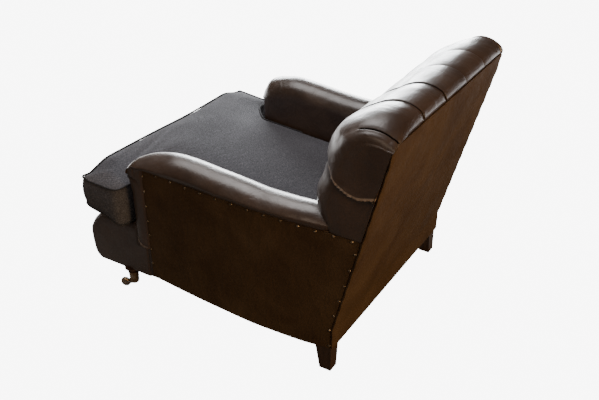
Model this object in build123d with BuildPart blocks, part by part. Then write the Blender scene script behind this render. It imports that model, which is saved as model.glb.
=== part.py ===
from build123d import *
import os
from math import atan2, cos, radians, sin, tan

# Roll-arm armchair on castors, in millimetres.
# +Z is up, the chair faces -Y and its own left side is +X.
# The origin is on the floor, in the middle of the chair's bounding box.

os.makedirs("parts", exist_ok=True)

# Overall sizes
overall_depth = 1130
overall_height = 853
floor_gap = 92  # floor to the underside of the seat frame
frame_width = 770  # over the outsides of the side rails
seat_width = 572  # between the inner faces of the arms
cut_overrun = 60  # how far every cutting shape runs past what it cuts
soft_gap = 0.3  # air between soft pieces that can part

# Timber sections
side_rail_thickness = 40
rail_height = 110
front_rail_thickness = 35
rear_rail_thickness = 35
front_rail_setback = 45  # from the front of the bolster to the front rail
corner_block_leg = 80
corner_block_height = 60
arm_post_depth = 60
arm_rail_height = 47
arm_rail_top = 512
arm_lower_rail_thickness = 30
arm_lower_rail_height = 40
arm_lower_rail_bottom = 250
back_post_depth = 45
back_post_top = 795
back_top_rail_height = 55
back_lower_rail_height = 60
back_lower_rail_bottom = 215

# Outside of the back
back_rake = 14.5  # degrees from upright
back_bend_height = 160  # the outside is upright below this height
back_edge_height = 805  # top edge of the outer back
outer_back_thickness = 6
outer_side_thickness = 6
outer_side_bulge = 14  # extra thickness halfway along the bottom edge
outer_side_bulge_top = 2
outer_side_bow = 12  # how far the bottom edge sags below its ends

# Legs
rear_leg_top_width = 48
rear_leg_top_depth = 55
rear_leg_foot_width = 37
rear_leg_foot_depth = 39
tenon_diameter = 18
tenon_length = 50
tenon_clearance = 0.1
front_leg_x = 372
front_leg_y = -405
front_leg_top_diameter = 56
front_leg_collar_height = 6
front_leg_ankle_diameter = 31
front_leg_ankle_height = 71
front_leg_foot_diameter = 26

# Castors
castor_cup_rim_diameter = 37
castor_cup_foot_diameter = 31
castor_cup_rim_height = 70
castor_cup_rim_band = 4
castor_cup_floor_thickness = 3
castor_gap = 0.2  # between the cup and the turning horn
horn_plate_diameter = 27
horn_plate_thickness = 4
horn_cheek_thickness = 3
horn_nose_diameter = 12
pintle_diameter = 6
pintle_head_diameter = 10
pintle_head_thickness = 2
running_clearance = 0.05  # radial, round the pintle and the axle
castor_trail = 36
castor_turn = 16  # degrees that the resting castors point outwards
wheel_diameter = 35
wheel_width = 15
wheel_hub_width = 15.6
wheel_hub_diameter = 12
wheel_edge_radius = 5
axle_diameter = 4
axle_head_diameter = 7
axle_head_thickness = 1.2

# Arms
arm_peak_height = 572
arm_lean = 8  # how far the inner face leans outwards up to the roll
arm_roll_reach = 410  # outermost face of the roll, from the middle of the chair
arm_shoulder_drop = 62  # roll top down to where the inner face starts to turn
arm_cheek_drop = 42  # roll top down to the outermost point of the roll
arm_front_setback = 207  # from the front of the bolster to the arm fronts
arm_facing_depth = 66  # from the arm front to the column of nails
arm_foot_height = 210  # rounded bottom end of the arm fronts
arm_run_past = 62  # how far the arms run back past the front of the inner back
crease_height_front = 507
crease_height_low = 492
crease_height_rear = 497
crease_low_y = 150
cover_thickness = 2
least_fullness_share = 0.4  # of the roll, where it comes down at the front
arm_station_shares = (0, 0.09, 0.21, 0.45, 0.71, 0.9, 1)
arm_dip_shares = (1.5, 0.45, 0, 0.5, 1, 0.96, 0.85)
roll_fade_shares = (0.1, 0, 0, 0, 0.05, 0.35, 0.9)
nose_station_shares = (0, 0.3, 0.6, 0.85, 1)
nose_drop_shares = (1.5, 2.2, 3, 3.9, 5.1)
nose_inner_shares = (0.04, 0.2, 0.36, 0.5, 0.62)
nose_face_shares = (0.2, 0.5, 0.6, 0.3, -0.6)
nose_foot_shares = (0, 0, 0, 0.3, 1)
nose_roll_shares = (0.8, 0.65, 0.5, 0.35, 0.2)
crown_share = 0.55
cheek_turn_share = 0.25
arm_dip = 24  # how far the top of the roll falls behind its peak
nose_face_bulge = 10
nose_foot_rise = 14

# Front bolster and seat
bolster_middle_height = 190
bolster_top_height = 289
bolster_top_setback = 70
bolster_chin_height = 106
bolster_chin_setback = 26
bolster_depth = 125
bolster_end_round = 16
bolster_end_shares = (0, 0.5, 1)
bolster_round_shares = (0, 0.25, 1)
spring_space = 8  # room for wires and clips on top of the rails
seat_slope = 4.9  # degrees down towards the back
seat_front_height = 296  # underside of the cushion at its front edge

# Seat cushion
cushion_front_width = 890
cushion_front_setback = 57
cushion_ear_depth = 143
cushion_main_width = 568
cushion_length = 796
cushion_border_height = 124
cushion_border_swell = 5
cushion_draw_in = 6
cushion_corner_radius = 22
cushion_notch_radius = 9
cushion_crown = 36
cushion_ear_crown = 24
crown_shoulder = 70  # width of the rounded shoulder beside each side seam
piping_diameter = 8
main_place_shares = (0.03, 0.2, 0.5, 0.8, 0.97)
main_rise_shares = (0.1, 0.85, 1, 0.75, 0.1)
ear_place_shares = (0.12, 0.5, 0.88)
ear_rise_shares = (0.1, 1, 0.1)
crown_turn_share = 0.4
brow_share = 0.62

# Inner back
back_front_y = 294  # front of the inner back at seat height
back_tuft_height = 640
back_tuft_y = 316
back_shoulder_y = 418
back_shoulder_height = 831
back_crown_y = 494
back_heel_y = 550
back_heel_height = 835
back_pad_bottom = 215
back_width = 782
channel_pitch = 147
channel_depth = 9
back_corner_inset = 56
back_corner_drop = 24
back_gusset_width = 23
button_diameter = 22
button_height = 7
tuft_depth = 13
tuft_width = 60
tuft_row_pitch = 88
groove_depth = 7
groove_width = 22
channel_fade = 60  # the channels begin this far below the top row of buttons
back_belly = 4  # how far the inner back swells forward there
back_arc_share = 0.45
corner_place_shares = (0, 0.5, 0.8, 1)
corner_front_shares = (0.3, 0.42, 0.66, 1)
corner_top_shares = (0.45, 0.5, 0.66, 1)
shoulder_place_share = 0.8
shoulder_front_share = 0.1

# Springs, webbing and base cloth
spring_count = 5
spring_wire = 3.8
spring_bend_radius = 16
spring_half_width = 26
clip_length = 16
clip_width = 14
clip_wall = 1.6
webbing_width = 50
webbing_thickness = 1.5
webbing_upright_count = 4
webbing_level_shares = (0.16, 0.36, 0.62, 0.84)  # clear of the arm rails
base_cloth_thickness = 1
base_cloth_margin = 12

# Nails
nail_diameter = 9
nail_dome = 3
nail_pitch = 57
nail_inset = 6  # from a leather edge to the middle of a nail
nail_column_drop = 24  # from the crease down to the first nail of the front column
nail_sink = 1
nail_shank_diameter = 2
nail_shank_length = 5

# Places worked out from the sizes above
front_y = -overall_depth / 2
rear_y_top = overall_depth / 2
rail_top = floor_gap + rail_height
side_outer_x = frame_width / 2
side_inner_x = side_outer_x - side_rail_thickness
panel_x = side_outer_x + outer_side_thickness
front_rail_y = front_y + front_rail_setback
arm_front_y = front_y + arm_front_setback
nail_column_y = arm_front_y + arm_facing_depth
arm_post_front_y = nail_column_y
arm_rail_bottom = arm_rail_top - arm_rail_height
cushion_front_y = front_y + cushion_front_setback
seat_half = seat_width / 2


def rear_face(z, depth=0):
    """Y of the outside of the back at height z, less a depth."""
    return rear_y_top - (back_edge_height - max(z, back_bend_height)) * tan(radians(back_rake)) - depth


def timber_rear(z):
    return rear_face(z, outer_back_thickness)


def timber_front(z):
    return rear_face(z, outer_back_thickness + back_post_depth)


def seat_height_at(y):
    """Height of the plane that the cushion lies on."""
    return seat_front_height - (y - cushion_front_y) * tan(radians(seat_slope))


def seat_plane(height):
    """A plane along the slope of the seat, raised by a height."""
    slope = radians(seat_slope)
    origin = (0, cushion_front_y, seat_front_height + height)
    return Plane(origin=origin, x_dir=(1, 0, 0), z_dir=(0, sin(slope), cos(slope)))


def crease_at(y):
    """Height of the crease under the arm roll: a parabola through its three named heights."""
    rear_y = timber_rear(crease_height_rear)
    near = (y - crease_low_y) * (y - rear_y) / ((nail_column_y - crease_low_y) * (nail_column_y - rear_y))
    low = (y - nail_column_y) * (y - rear_y) / ((crease_low_y - nail_column_y) * (crease_low_y - rear_y))
    far = (y - nail_column_y) * (y - crease_low_y) / ((rear_y - nail_column_y) * (rear_y - crease_low_y))
    return crease_height_front * near + crease_height_low * low + crease_height_rear * far


def write_piece(piece, name):
    piece.label = name
    export_step(piece, f"parts/{name}.step")


def write_pair(left_piece, name):
    with BuildPart() as right_piece:
        mirror(left_piece, about=Plane.YZ)
    write_piece(left_piece, f"left_{name}")
    write_piece(right_piece.part, f"right_{name}")
    return right_piece.part


# Seat frame
with BuildPart() as front_rail:
    with BuildSketch(Plane.XY.offset(floor_gap)):
        with Locations((0, front_rail_y + front_rail_thickness / 2)):
            Rectangle(2 * side_inner_x, front_rail_thickness)
    extrude(amount=rail_height)
front_rail.part.label = "front_rail"
export_step(front_rail.part, "parts/front_rail.step")

rear_rail_front_y = timber_rear(floor_gap) - rear_rail_thickness
with BuildPart() as rear_rail:
    with BuildSketch(Plane.XY.offset(floor_gap)):
        with Locations((0, rear_rail_front_y + rear_rail_thickness / 2)):
            Rectangle(2 * side_inner_x, rear_rail_thickness)
    extrude(amount=rail_height)
    # The upper part of the rail follows the rake of the posts.
    with BuildSketch(Plane.YZ.offset(-side_inner_x)):
        with BuildLine():
            Polyline(
                (timber_rear(back_bend_height), back_bend_height),
                (timber_rear(rail_top), rail_top),
                (timber_rear(floor_gap), rail_top),
                close=True,
            )
        make_face()
    extrude(amount=2 * side_inner_x)
rear_rail.part.label = "rear_rail"
export_step(rear_rail.part, "parts/rear_rail.step")

with BuildPart() as side_rail:
    with BuildSketch(Plane.YZ.offset(side_inner_x)):
        with BuildLine():
            Polyline(
                (front_rail_y, floor_gap),
                (timber_front(floor_gap), floor_gap),
                (timber_front(back_bend_height), back_bend_height),
                (timber_front(rail_top), rail_top),
                (front_rail_y, rail_top),
                close=True,
            )
        make_face()
    extrude(amount=side_rail_thickness)
    with BuildSketch(Plane.XY.offset(floor_gap)):
        with Locations((front_leg_x, front_leg_y)):
            Circle(tenon_diameter / 2 + tenon_clearance)
    extrude(amount=tenon_length + tenon_clearance, mode=Mode.SUBTRACT)
write_pair(side_rail.part, "side_rail")

with BuildPart() as corner_blocks:
    block_front_y = front_rail_y + front_rail_thickness
    with BuildSketch(Plane.XY.offset(floor_gap)):
        for corner_y, inward in ((block_front_y, 1), (rear_rail_front_y, -1)):
            for side in (-1, 1):
                with BuildLine():
                    Polyline(
                        (side * side_inner_x, corner_y),
                        (side * (side_inner_x - corner_block_leg), corner_y),
                        (side * side_inner_x, corner_y + inward * corner_block_leg),
                        close=True,
                    )
                make_face()
    extrude(amount=corner_block_height)
corner_blocks.part.label = "corner_blocks"
export_step(corner_blocks.part, "parts/corner_blocks.step")

# Arm frames
with BuildPart() as arm_post:
    with BuildSketch(Plane.XY.offset(rail_top)):
        with Locations((side_inner_x + side_rail_thickness / 2, arm_post_front_y + arm_post_depth / 2)):
            Rectangle(side_rail_thickness, arm_post_depth)
    extrude(amount=arm_rail_bottom - rail_top)
write_pair(arm_post.part, "arm_post")

with BuildPart() as arm_rail:
    with BuildSketch(Plane.YZ.offset(side_inner_x)):
        with BuildLine():
            Polyline(
                (arm_post_front_y, arm_rail_bottom),
                (timber_front(arm_rail_bottom), arm_rail_bottom),
                (timber_front(arm_rail_top), arm_rail_top),
                (arm_post_front_y, arm_rail_top),
                close=True,
            )
        make_face()
    extrude(amount=side_rail_thickness)
right_arm_rail = write_pair(arm_rail.part, "arm_rail")

arm_lower_rail_top = arm_lower_rail_bottom + arm_lower_rail_height
with BuildPart() as arm_lower_rail:
    with BuildSketch(Plane.YZ.offset(side_inner_x)):
        with BuildLine():
            Polyline(
                (arm_post_front_y + arm_post_depth, arm_lower_rail_bottom),
                (timber_front(arm_lower_rail_bottom), arm_lower_rail_bottom),
                (timber_front(arm_lower_rail_top), arm_lower_rail_top),
                (arm_post_front_y + arm_post_depth, arm_lower_rail_top),
                close=True,
            )
        make_face()
    extrude(amount=arm_lower_rail_thickness)
right_arm_lower_rail = write_pair(arm_lower_rail.part, "arm_lower_rail")

# Back frame
rear_leg_x = panel_x - rear_leg_top_width / 2
rear_leg_y = timber_rear(floor_gap) - rear_leg_top_depth / 2
tenon_x = side_inner_x + side_rail_thickness / 2
tenon_y = timber_rear(floor_gap) - back_post_depth / 2
with BuildPart() as back_post:
    with BuildSketch(Plane.YZ.offset(side_inner_x)):
        with BuildLine():
            Polyline(
                (timber_rear(floor_gap), floor_gap),
                (timber_rear(back_bend_height), back_bend_height),
                (timber_rear(back_post_top), back_post_top),
                (timber_front(back_post_top), back_post_top),
                (timber_front(back_bend_height), back_bend_height),
                (timber_front(floor_gap), floor_gap),
                close=True,
            )
        make_face()
    extrude(amount=side_rail_thickness)
    with BuildSketch(Plane.XY.offset(floor_gap)):
        with Locations((tenon_x, tenon_y)):
            Circle(tenon_diameter / 2 + tenon_clearance)
    extrude(amount=tenon_length + tenon_clearance, mode=Mode.SUBTRACT)
right_back_post = write_pair(back_post.part, "back_post")


def cross_rail(bottom, height):
    """A rail between the back posts, raked like them."""
    with BuildPart() as rail:
        with BuildSketch(Plane.YZ.offset(-side_inner_x)):
            with BuildLine():
                Polyline(
                    (timber_front(bottom), bottom),
                    (timber_rear(bottom), bottom),
                    (timber_rear(bottom + height), bottom + height),
                    (timber_front(bottom + height), bottom + height),
                    close=True,
                )
            make_face()
        extrude(amount=2 * side_inner_x)
    return rail.part


back_top_rail = cross_rail(back_post_top - back_top_rail_height, back_top_rail_height)
write_piece(back_top_rail, "back_top_rail")
back_lower_rail = cross_rail(back_lower_rail_bottom, back_lower_rail_height)
write_piece(back_lower_rail, "back_lower_rail")

# Legs
with BuildPart() as rear_leg:
    with BuildSketch():
        foot_x = panel_x - rear_leg_foot_width / 2
        foot_y = timber_rear(floor_gap) - rear_leg_foot_depth / 2
        with Locations((foot_x, foot_y)):
            Rectangle(rear_leg_foot_width, rear_leg_foot_depth)
    with BuildSketch(Plane.XY.offset(floor_gap)):
        with Locations((rear_leg_x, rear_leg_y)):
            Rectangle(rear_leg_top_width, rear_leg_top_depth)
    loft()
    with BuildSketch(Plane.XY.offset(floor_gap)):
        with Locations((tenon_x, tenon_y)):
            Circle(tenon_diameter / 2)
    extrude(amount=tenon_length)
write_pair(rear_leg.part, "rear_leg")

cup_floor_top = wheel_diameter / 2 + horn_nose_diameter + castor_gap + castor_cup_floor_thickness
cup_floor_bottom = cup_floor_top - castor_cup_floor_thickness
pintle_head_room = pintle_head_thickness + 2 * castor_gap
with BuildPart() as front_leg:
    leg_axis = Plane(origin=(front_leg_x, front_leg_y, 0), x_dir=(1, 0, 0), z_dir=(0, -1, 0))
    with BuildSketch(leg_axis):
        with BuildLine():
            collar_bottom = floor_gap - front_leg_collar_height
            top_radius = front_leg_top_diameter / 2
            ankle_radius = front_leg_ankle_diameter / 2
            foot_radius = front_leg_foot_diameter / 2
            Polyline(
                (0, floor_gap + tenon_length),
                (tenon_diameter / 2, floor_gap + tenon_length),
                (tenon_diameter / 2, floor_gap),
                (top_radius, floor_gap),
                (top_radius, collar_bottom),
            )
            waist_z = (collar_bottom + front_leg_ankle_height) / 2
            waist_radius = ankle_radius + (top_radius - ankle_radius) / 3
            ThreePointArc(
                (top_radius, collar_bottom), (waist_radius, waist_z), (ankle_radius, front_leg_ankle_height)
            )
            Polyline(
                (ankle_radius, front_leg_ankle_height),
                (foot_radius, cup_floor_top),
                (pintle_head_diameter / 2 + castor_gap, cup_floor_top),
                (pintle_head_diameter / 2 + castor_gap, cup_floor_top + pintle_head_room),
                (0, cup_floor_top + pintle_head_room),
                (0, floor_gap + tenon_length),
            )
        make_face()
    revolve(axis=Axis((front_leg_x, front_leg_y, 0), (0, 0, 1)))
write_pair(front_leg.part, "front_leg")

# Castors
with BuildPart() as castor_cup:
    with BuildSketch(leg_axis):
        with BuildLine():
            Polyline(
                (pintle_diameter / 2 + running_clearance, cup_floor_bottom),
                (castor_cup_foot_diameter / 2, cup_floor_bottom),
                (castor_cup_rim_diameter / 2 - nail_sink, castor_cup_rim_height - castor_cup_rim_band),
                (castor_cup_rim_diameter / 2, castor_cup_rim_height - castor_cup_rim_band),
                (castor_cup_rim_diameter / 2, castor_cup_rim_height),
                (pintle_diameter / 2 + running_clearance, castor_cup_rim_height),
                close=True,
            )
        make_face()
    revolve(axis=Axis((front_leg_x, front_leg_y, 0), (0, 0, 1)))
    add(front_leg.part, mode=Mode.SUBTRACT)
    with BuildSketch(Plane.XY.offset(cup_floor_top)):
        with Locations((front_leg_x, front_leg_y)):
            Circle(pintle_head_diameter / 2 + castor_gap)
    extrude(amount=pintle_head_room, mode=Mode.SUBTRACT)
write_pair(castor_cup.part, "castor_cup")

# The horn points forward along the trail, turned outwards by the resting angle.
turn = radians(castor_turn)
trail_x, trail_y = sin(turn), -cos(turn)
axle_height = wheel_diameter / 2
axle_place = (front_leg_x + castor_trail * trail_x, front_leg_y + castor_trail * trail_y, axle_height)
axle_direction = (-trail_y, trail_x, 0)
cheek_inner = wheel_hub_width / 2 + castor_gap
cheek_outer = cheek_inner + horn_cheek_thickness
plate_top = cup_floor_bottom - castor_gap
with BuildPart() as castor_horn:
    with BuildSketch(Plane.XY.offset(plate_top - horn_plate_thickness)):
        with Locations((front_leg_x, front_leg_y)):
            Circle(horn_plate_diameter / 2)
    extrude(amount=horn_plate_thickness)
    for start in (cheek_inner, -cheek_outer):
        cheek_origin = Vector(front_leg_x, front_leg_y, 0) + Vector(*axle_direction) * start
        cheek_plane = Plane(origin=cheek_origin, x_dir=(trail_x, trail_y, 0), z_dir=axle_direction)
        with BuildSketch(cheek_plane):
            # The sketch may lie upside down, so heights are taken along its own upright.
            up = cheek_plane.y_dir.Z
            with Locations((0, up * (plate_top - horn_plate_thickness / 2))):
                Circle(horn_plate_thickness / 2)
            with Locations((castor_trail, up * axle_height)):
                Circle(horn_nose_diameter / 2)
            make_hull()
        extrude(amount=horn_cheek_thickness)
    with BuildSketch(Plane.XY.offset(plate_top)):
        with Locations((front_leg_x, front_leg_y)):
            Circle(pintle_diameter / 2)
    extrude(amount=castor_cup_floor_thickness + 2 * castor_gap)
    with BuildSketch(Plane.XY.offset(cup_floor_top + castor_gap)):
        with Locations((front_leg_x, front_leg_y)):
            Circle(pintle_head_diameter / 2)
    extrude(amount=pintle_head_thickness)
    with BuildSketch(Plane(origin=axle_place, x_dir=(0, 0, 1), z_dir=axle_direction)):
        Circle(axle_diameter / 2)
    extrude(amount=cheek_outer + castor_gap, both=True, mode=Mode.SUBTRACT)
write_pair(castor_horn.part, "castor_horn")

with BuildPart() as castor_axle:
    with BuildSketch(Plane(origin=axle_place, x_dir=(0, 0, 1), z_dir=axle_direction)):
        Circle(axle_diameter / 2)
    extrude(amount=cheek_outer, both=True)
    for end in (1, -1):
        head_origin = Vector(*axle_place) + Vector(*axle_direction) * (end * cheek_outer)
        head_axis = Vector(*axle_direction) * end
        with BuildSketch(Plane(origin=head_origin, x_dir=(0, 0, 1), z_dir=head_axis)):
            Circle(axle_head_diameter / 2)
        extrude(amount=axle_head_thickness)
write_pair(castor_axle.part, "castor_axle")

with BuildPart() as castor_wheel:
    wheel_plane = Plane(origin=axle_place, x_dir=(0, 0, 1), z_dir=(trail_x, trail_y, 0))
    with BuildSketch(wheel_plane):
        with BuildLine():
            bore = axle_diameter / 2 + running_clearance
            tread = wheel_diameter / 2 - wheel_edge_radius
            Polyline(
                (tread, -wheel_width / 2),
                (wheel_hub_diameter / 2, -wheel_width / 2),
                (wheel_hub_diameter / 2, -wheel_hub_width / 2),
                (bore, -wheel_hub_width / 2),
                (bore, wheel_hub_width / 2),
                (wheel_hub_diameter / 2, wheel_hub_width / 2),
                (wheel_hub_diameter / 2, wheel_width / 2),
                (tread, wheel_width / 2),
            )
            ThreePointArc((tread, wheel_width / 2), (wheel_diameter / 2, 0), (tread, -wheel_width / 2))
        make_face()
    revolve(axis=Axis(axle_place, axle_direction))
write_pair(castor_wheel.part, "castor_wheel")
print("frame, legs and castors written")

# Arms
arm_start_y = nail_column_y - nail_inset
arm_end_y = back_shoulder_y - arm_run_past
roll_width = arm_roll_reach - seat_half


def arm_section(y, inner, reach, top, foot, skin, face=None):
    """One slice across an arm; a face gives the slice a column down its outside."""
    scale = (reach - inner) / roll_width
    fullness = (top - crease_at(y)) / (arm_peak_height - crease_height_front)
    cheek_drop = arm_cheek_drop * scale * min(max(fullness, least_fullness_share), 1)
    shoulder_x = inner + arm_lean * scale + skin
    outer_x = reach - skin
    shoulder = (shoulder_x, top - arm_shoulder_drop * scale)
    crown = (shoulder_x + (outer_x - shoulder_x) * crown_share, top - skin)
    cheek = (outer_x, top - cheek_drop)
    edge_x = (panel_x if face is None else face) - skin
    edge = (edge_x, min(crease_at(y), cheek[1] - arm_lean * scale) + skin)
    turn_x = outer_x - (outer_x - edge_x) * cheek_turn_share
    with BuildSketch(Plane.XZ.offset(-y)) as section:
        with BuildLine():
            Line((inner + skin, foot), shoulder)
            ThreePointArc(shoulder, crown, cheek)
            ThreePointArc(cheek, (turn_x, (cheek[1] + edge[1]) / 2), edge)
            if face is None:
                Polyline(edge, (side_outer_x, edge[1]), (side_outer_x, foot), (inner + skin, foot))
            else:
                Polyline(edge, (edge_x, foot), (inner + skin, foot))
        make_face()
    return section.sketch


def arm_body(skin):
    """The whole arm inside a skin of the given thickness: the long roll and the rounded front."""
    length = arm_end_y - arm_start_y
    front_length = arm_start_y - arm_front_y - skin
    with BuildPart() as body:
        slices = []
        for place, dip, fade in zip(arm_station_shares, arm_dip_shares, roll_fade_shares):
            reach = arm_roll_reach - (arm_roll_reach - panel_x) * fade
            top = arm_peak_height - arm_dip * dip
            slices.append(arm_section(arm_start_y + length * place, seat_half, reach, top, rail_top, skin))
        loft(slices)
        nose_sides = zip(nose_inner_shares, nose_face_shares, nose_roll_shares)
        nose_heights = zip(nose_drop_shares, nose_foot_shares)
        slices = []
        for place, (inner, face, roll), (drop, foot) in zip(nose_station_shares, nose_sides, nose_heights):
            y = arm_start_y - front_length * place
            face_x = panel_x + nose_face_bulge * face
            inner_x = seat_half + roll_width * inner
            reach = face_x + (arm_roll_reach - panel_x) * roll
            top = arm_peak_height - arm_dip * drop
            bottom = arm_foot_height + nose_foot_rise * foot + skin
            slices.append(arm_section(y, inner_x, reach, top, bottom, skin, face_x))
        loft(slices)
    return body.part


arm_outer = arm_body(0)
arm_inner = arm_body(cover_thickness)
print("arm bodies", arm_outer.volume, arm_inner.volume)

# Outer sides
panel_top = max(crease_height_front, crease_height_rear)
panel_foot = floor_gap - outer_side_bow
panel_end_low = timber_rear(floor_gap)
panel_end_high = timber_rear(panel_top)


def side_plan(z, end_y, bulge):
    """A slice of the outer side at one height: flat inside, bowed outside."""
    with BuildSketch(Plane.XY.offset(z)) as plan:
        with BuildLine():
            start, end = (panel_x, arm_start_y), (panel_x, end_y)
            Polyline(start, (side_outer_x, arm_start_y), (side_outer_x, end_y), end)
            ThreePointArc(end, (panel_x + bulge, (arm_start_y + end_y) / 2), start)
        make_face()
    return plan.sketch


def side_surface(y, z):
    """X of the outside of the outer side."""
    share = (z - panel_foot) / (panel_top - panel_foot)
    end_y = panel_end_low + (panel_end_high - panel_end_low) * share
    bulge = outer_side_bulge + (outer_side_bulge_top - outer_side_bulge) * share
    along = min(max((y - arm_start_y) / (end_y - arm_start_y), 0), 1)
    return panel_x + 4 * bulge * along * (1 - along)


with BuildPart() as outer_side:
    low_plan = side_plan(panel_foot, panel_end_low, outer_side_bulge)
    high_plan = side_plan(panel_top, panel_end_high, outer_side_bulge_top)
    loft([low_plan, high_plan])
    with BuildSketch(Plane.YZ.offset(side_outer_x)):
        with BuildLine():
            crease_end_y = timber_rear(crease_height_rear)
            crease_middle_y = (arm_start_y + crease_end_y) / 2
            crease_start = (arm_start_y, crease_at(arm_start_y))
            crease_end = (crease_end_y, crease_at(crease_end_y))
            crease_pull = 2 * crease_at(crease_middle_y) - (crease_start[1] + crease_end[1]) / 2
            Bezier(crease_start, (crease_middle_y, crease_pull), crease_end)
            Polyline(
                crease_end,
                (timber_rear(back_bend_height), back_bend_height),
                (timber_rear(floor_gap), floor_gap),
            )
            ThreePointArc(
                (timber_rear(floor_gap), floor_gap),
                ((arm_start_y + timber_rear(floor_gap)) / 2, panel_foot),
                (arm_start_y, floor_gap),
            )
            Line((arm_start_y, floor_gap), crease_start)
        make_face()
    extrude(amount=cut_overrun, mode=Mode.INTERSECT)

# Inner back
front_lean = (back_tuft_y - back_front_y) / (back_tuft_height - seat_height_at(back_front_y))


def back_front(z):
    """Y of the front of the inner back below the top row of buttons."""
    return back_front_y + (z - seat_height_at(back_front_y)) * front_lean


def back_profile(x, front_inset, top_inset, skin):
    """A slice of the inner back from front to rear at one place across the chair."""
    fade_z = back_tuft_height - channel_fade
    low = (back_front(back_pad_bottom) + skin, back_pad_bottom)
    fade = (back_front(fade_z) - back_belly + skin + max(front_inset - channel_depth, 0), fade_z)
    low = (low[0] + max(front_inset - channel_depth, 0), low[1])
    tuft = (back_tuft_y + front_inset + skin, back_tuft_height)
    shoulder = (back_shoulder_y + (front_inset + skin) / 2, back_shoulder_height - top_inset - skin)
    lift_y = tuft[0] + (shoulder[0] - tuft[0]) * back_arc_share / 2
    lift_z = tuft[1] + (shoulder[1] - tuft[1]) * (1 + back_arc_share / 2) / 2
    crown = (back_crown_y, overall_height - top_inset - skin)
    heel = (back_heel_y - (top_inset + skin) / 2, back_heel_height - (top_inset + skin) * 2 / 3)
    edge = (rear_y_top - skin, back_edge_height)
    with BuildSketch(Plane.YZ.offset(x)) as profile:
        with BuildLine():
            Polyline(low, fade, tuft)
            ThreePointArc(tuft, (lift_y, lift_z), shoulder)
            TangentArc(crown, shoulder, tangent=(-1, 0))
            TangentArc(crown, heel, tangent=(1, 0))
            TangentArc(edge, heel, tangent=(0, 1))
            Polyline(
                edge,
                (timber_rear(back_edge_height), back_edge_height),
                (timber_rear(back_pad_bottom), back_pad_bottom),
                low,
            )
        make_face()
    return profile.sketch


back_half = back_width / 2
gusset_x = back_half - back_gusset_width
seam_places = [channel_pitch * (i - 1.5) for i in range(4)]


def back_body(skin):
    """The inner back: three channels over the top, a wider one at each side and the two end gussets."""
    outer_seam = seam_places[-1]
    bulge_x = outer_seam + (gusset_x - outer_seam) / 2
    turn_x = outer_seam + (gusset_x - outer_seam) * shoulder_place_share
    turn_inset = back_corner_inset * shoulder_front_share
    gusset_front = back_corner_inset * corner_front_shares[0]
    gusset_top = back_corner_drop * corner_top_shares[0]
    with BuildPart() as body:
        for left_seam, right_seam in zip(seam_places, seam_places[1:]):
            start = back_profile(left_seam, channel_depth, channel_depth, skin)
            middle = back_profile((left_seam + right_seam) / 2, 0, 0, skin)
            end = back_profile(right_seam, channel_depth, channel_depth, skin)
            loft([start, middle, end])
        for side in (1, -1):
            start = back_profile(side * outer_seam, channel_depth, channel_depth, skin)
            middle = back_profile(side * bulge_x, 0, 0, skin)
            turn = back_profile(side * turn_x, turn_inset, channel_depth / 3, skin)
            end = back_profile(side * gusset_x, gusset_front, gusset_top, skin)
            loft([start, middle, turn, end])
            slices = []
            for place, front, top in zip(corner_place_shares, corner_front_shares, corner_top_shares):
                x = side * (gusset_x + (back_gusset_width - skin) * place)
                slices.append(back_profile(x, back_corner_inset * front, back_corner_drop * top, skin))
            loft(slices)
    return body.part


back_outer_plain = back_body(0)
back_inner_plain = back_body(cover_thickness)
print("back bodies", back_outer_plain.volume, back_inner_plain.volume)

# Buttons, the hollows that they lie in and the folds between them
front_normal = Vector(0, -cos(atan2(front_lean, 1)), sin(atan2(front_lean, 1)))
top_row = [(x, back_tuft_height) for x in seam_places]
middle_row = [(channel_pitch * i, back_tuft_height - tuft_row_pitch) for i in (-1, 0, 1)]
bottom_row = [(x, back_tuft_height - 2 * tuft_row_pitch) for x in seam_places]
buttons = top_row + middle_row + bottom_row
folds = []
for lower_x, lower_z in middle_row:
    for step in (-0.5, 0.5):
        folds.append(((lower_x, lower_z), (lower_x + step * channel_pitch, back_tuft_height)))
        folds.append(((lower_x, lower_z), (lower_x + step * channel_pitch, lower_z - tuft_row_pitch)))


def on_front(x, z):
    return Vector(x, back_front(z), z)


def fold_cut(start, end, outward, depth):
    """A shallow V-shaped fold from one point to another."""
    run = end - start
    half = groove_width / 2
    with BuildPart() as fold:
        with BuildSketch(Plane(origin=start, x_dir=outward, z_dir=run)):
            with BuildLine():
                Polyline((-depth, 0), (depth, -2 * half), (depth, 2 * half), close=True)
            make_face()
        extrude(amount=run.length)
    return fold.part


def tufted(plain, skin):
    """The back with its buttoned hollows and folds, set deeper by a skin."""
    cutters = []
    for x, z in buttons:
        place = Plane(origin=on_front(x, z) - front_normal * skin, z_dir=-front_normal)
        with BuildPart(place) as hollow:
            Cone(
                tuft_width / 2,
                button_diameter / 2 + soft_gap,
                tuft_depth,
                align=(Align.CENTER, Align.CENTER, Align.MIN),
            )
        cutters.append(hollow.part)
    for (start_x, start_z), (end_x, end_z) in folds:
        start, end = on_front(start_x, start_z), on_front(end_x, end_z)
        cutters.append(fold_cut(start, end, front_normal, groove_depth + skin))
    with BuildPart() as body:
        add(plain)
        for cutter in cutters:
            add(cutter, mode=Mode.SUBTRACT)
    return body.part


back_outer = tufted(back_outer_plain, 0)
back_inner = tufted(back_inner_plain, cover_thickness)
print("tufted backs", back_outer.volume, back_inner.volume)

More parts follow.
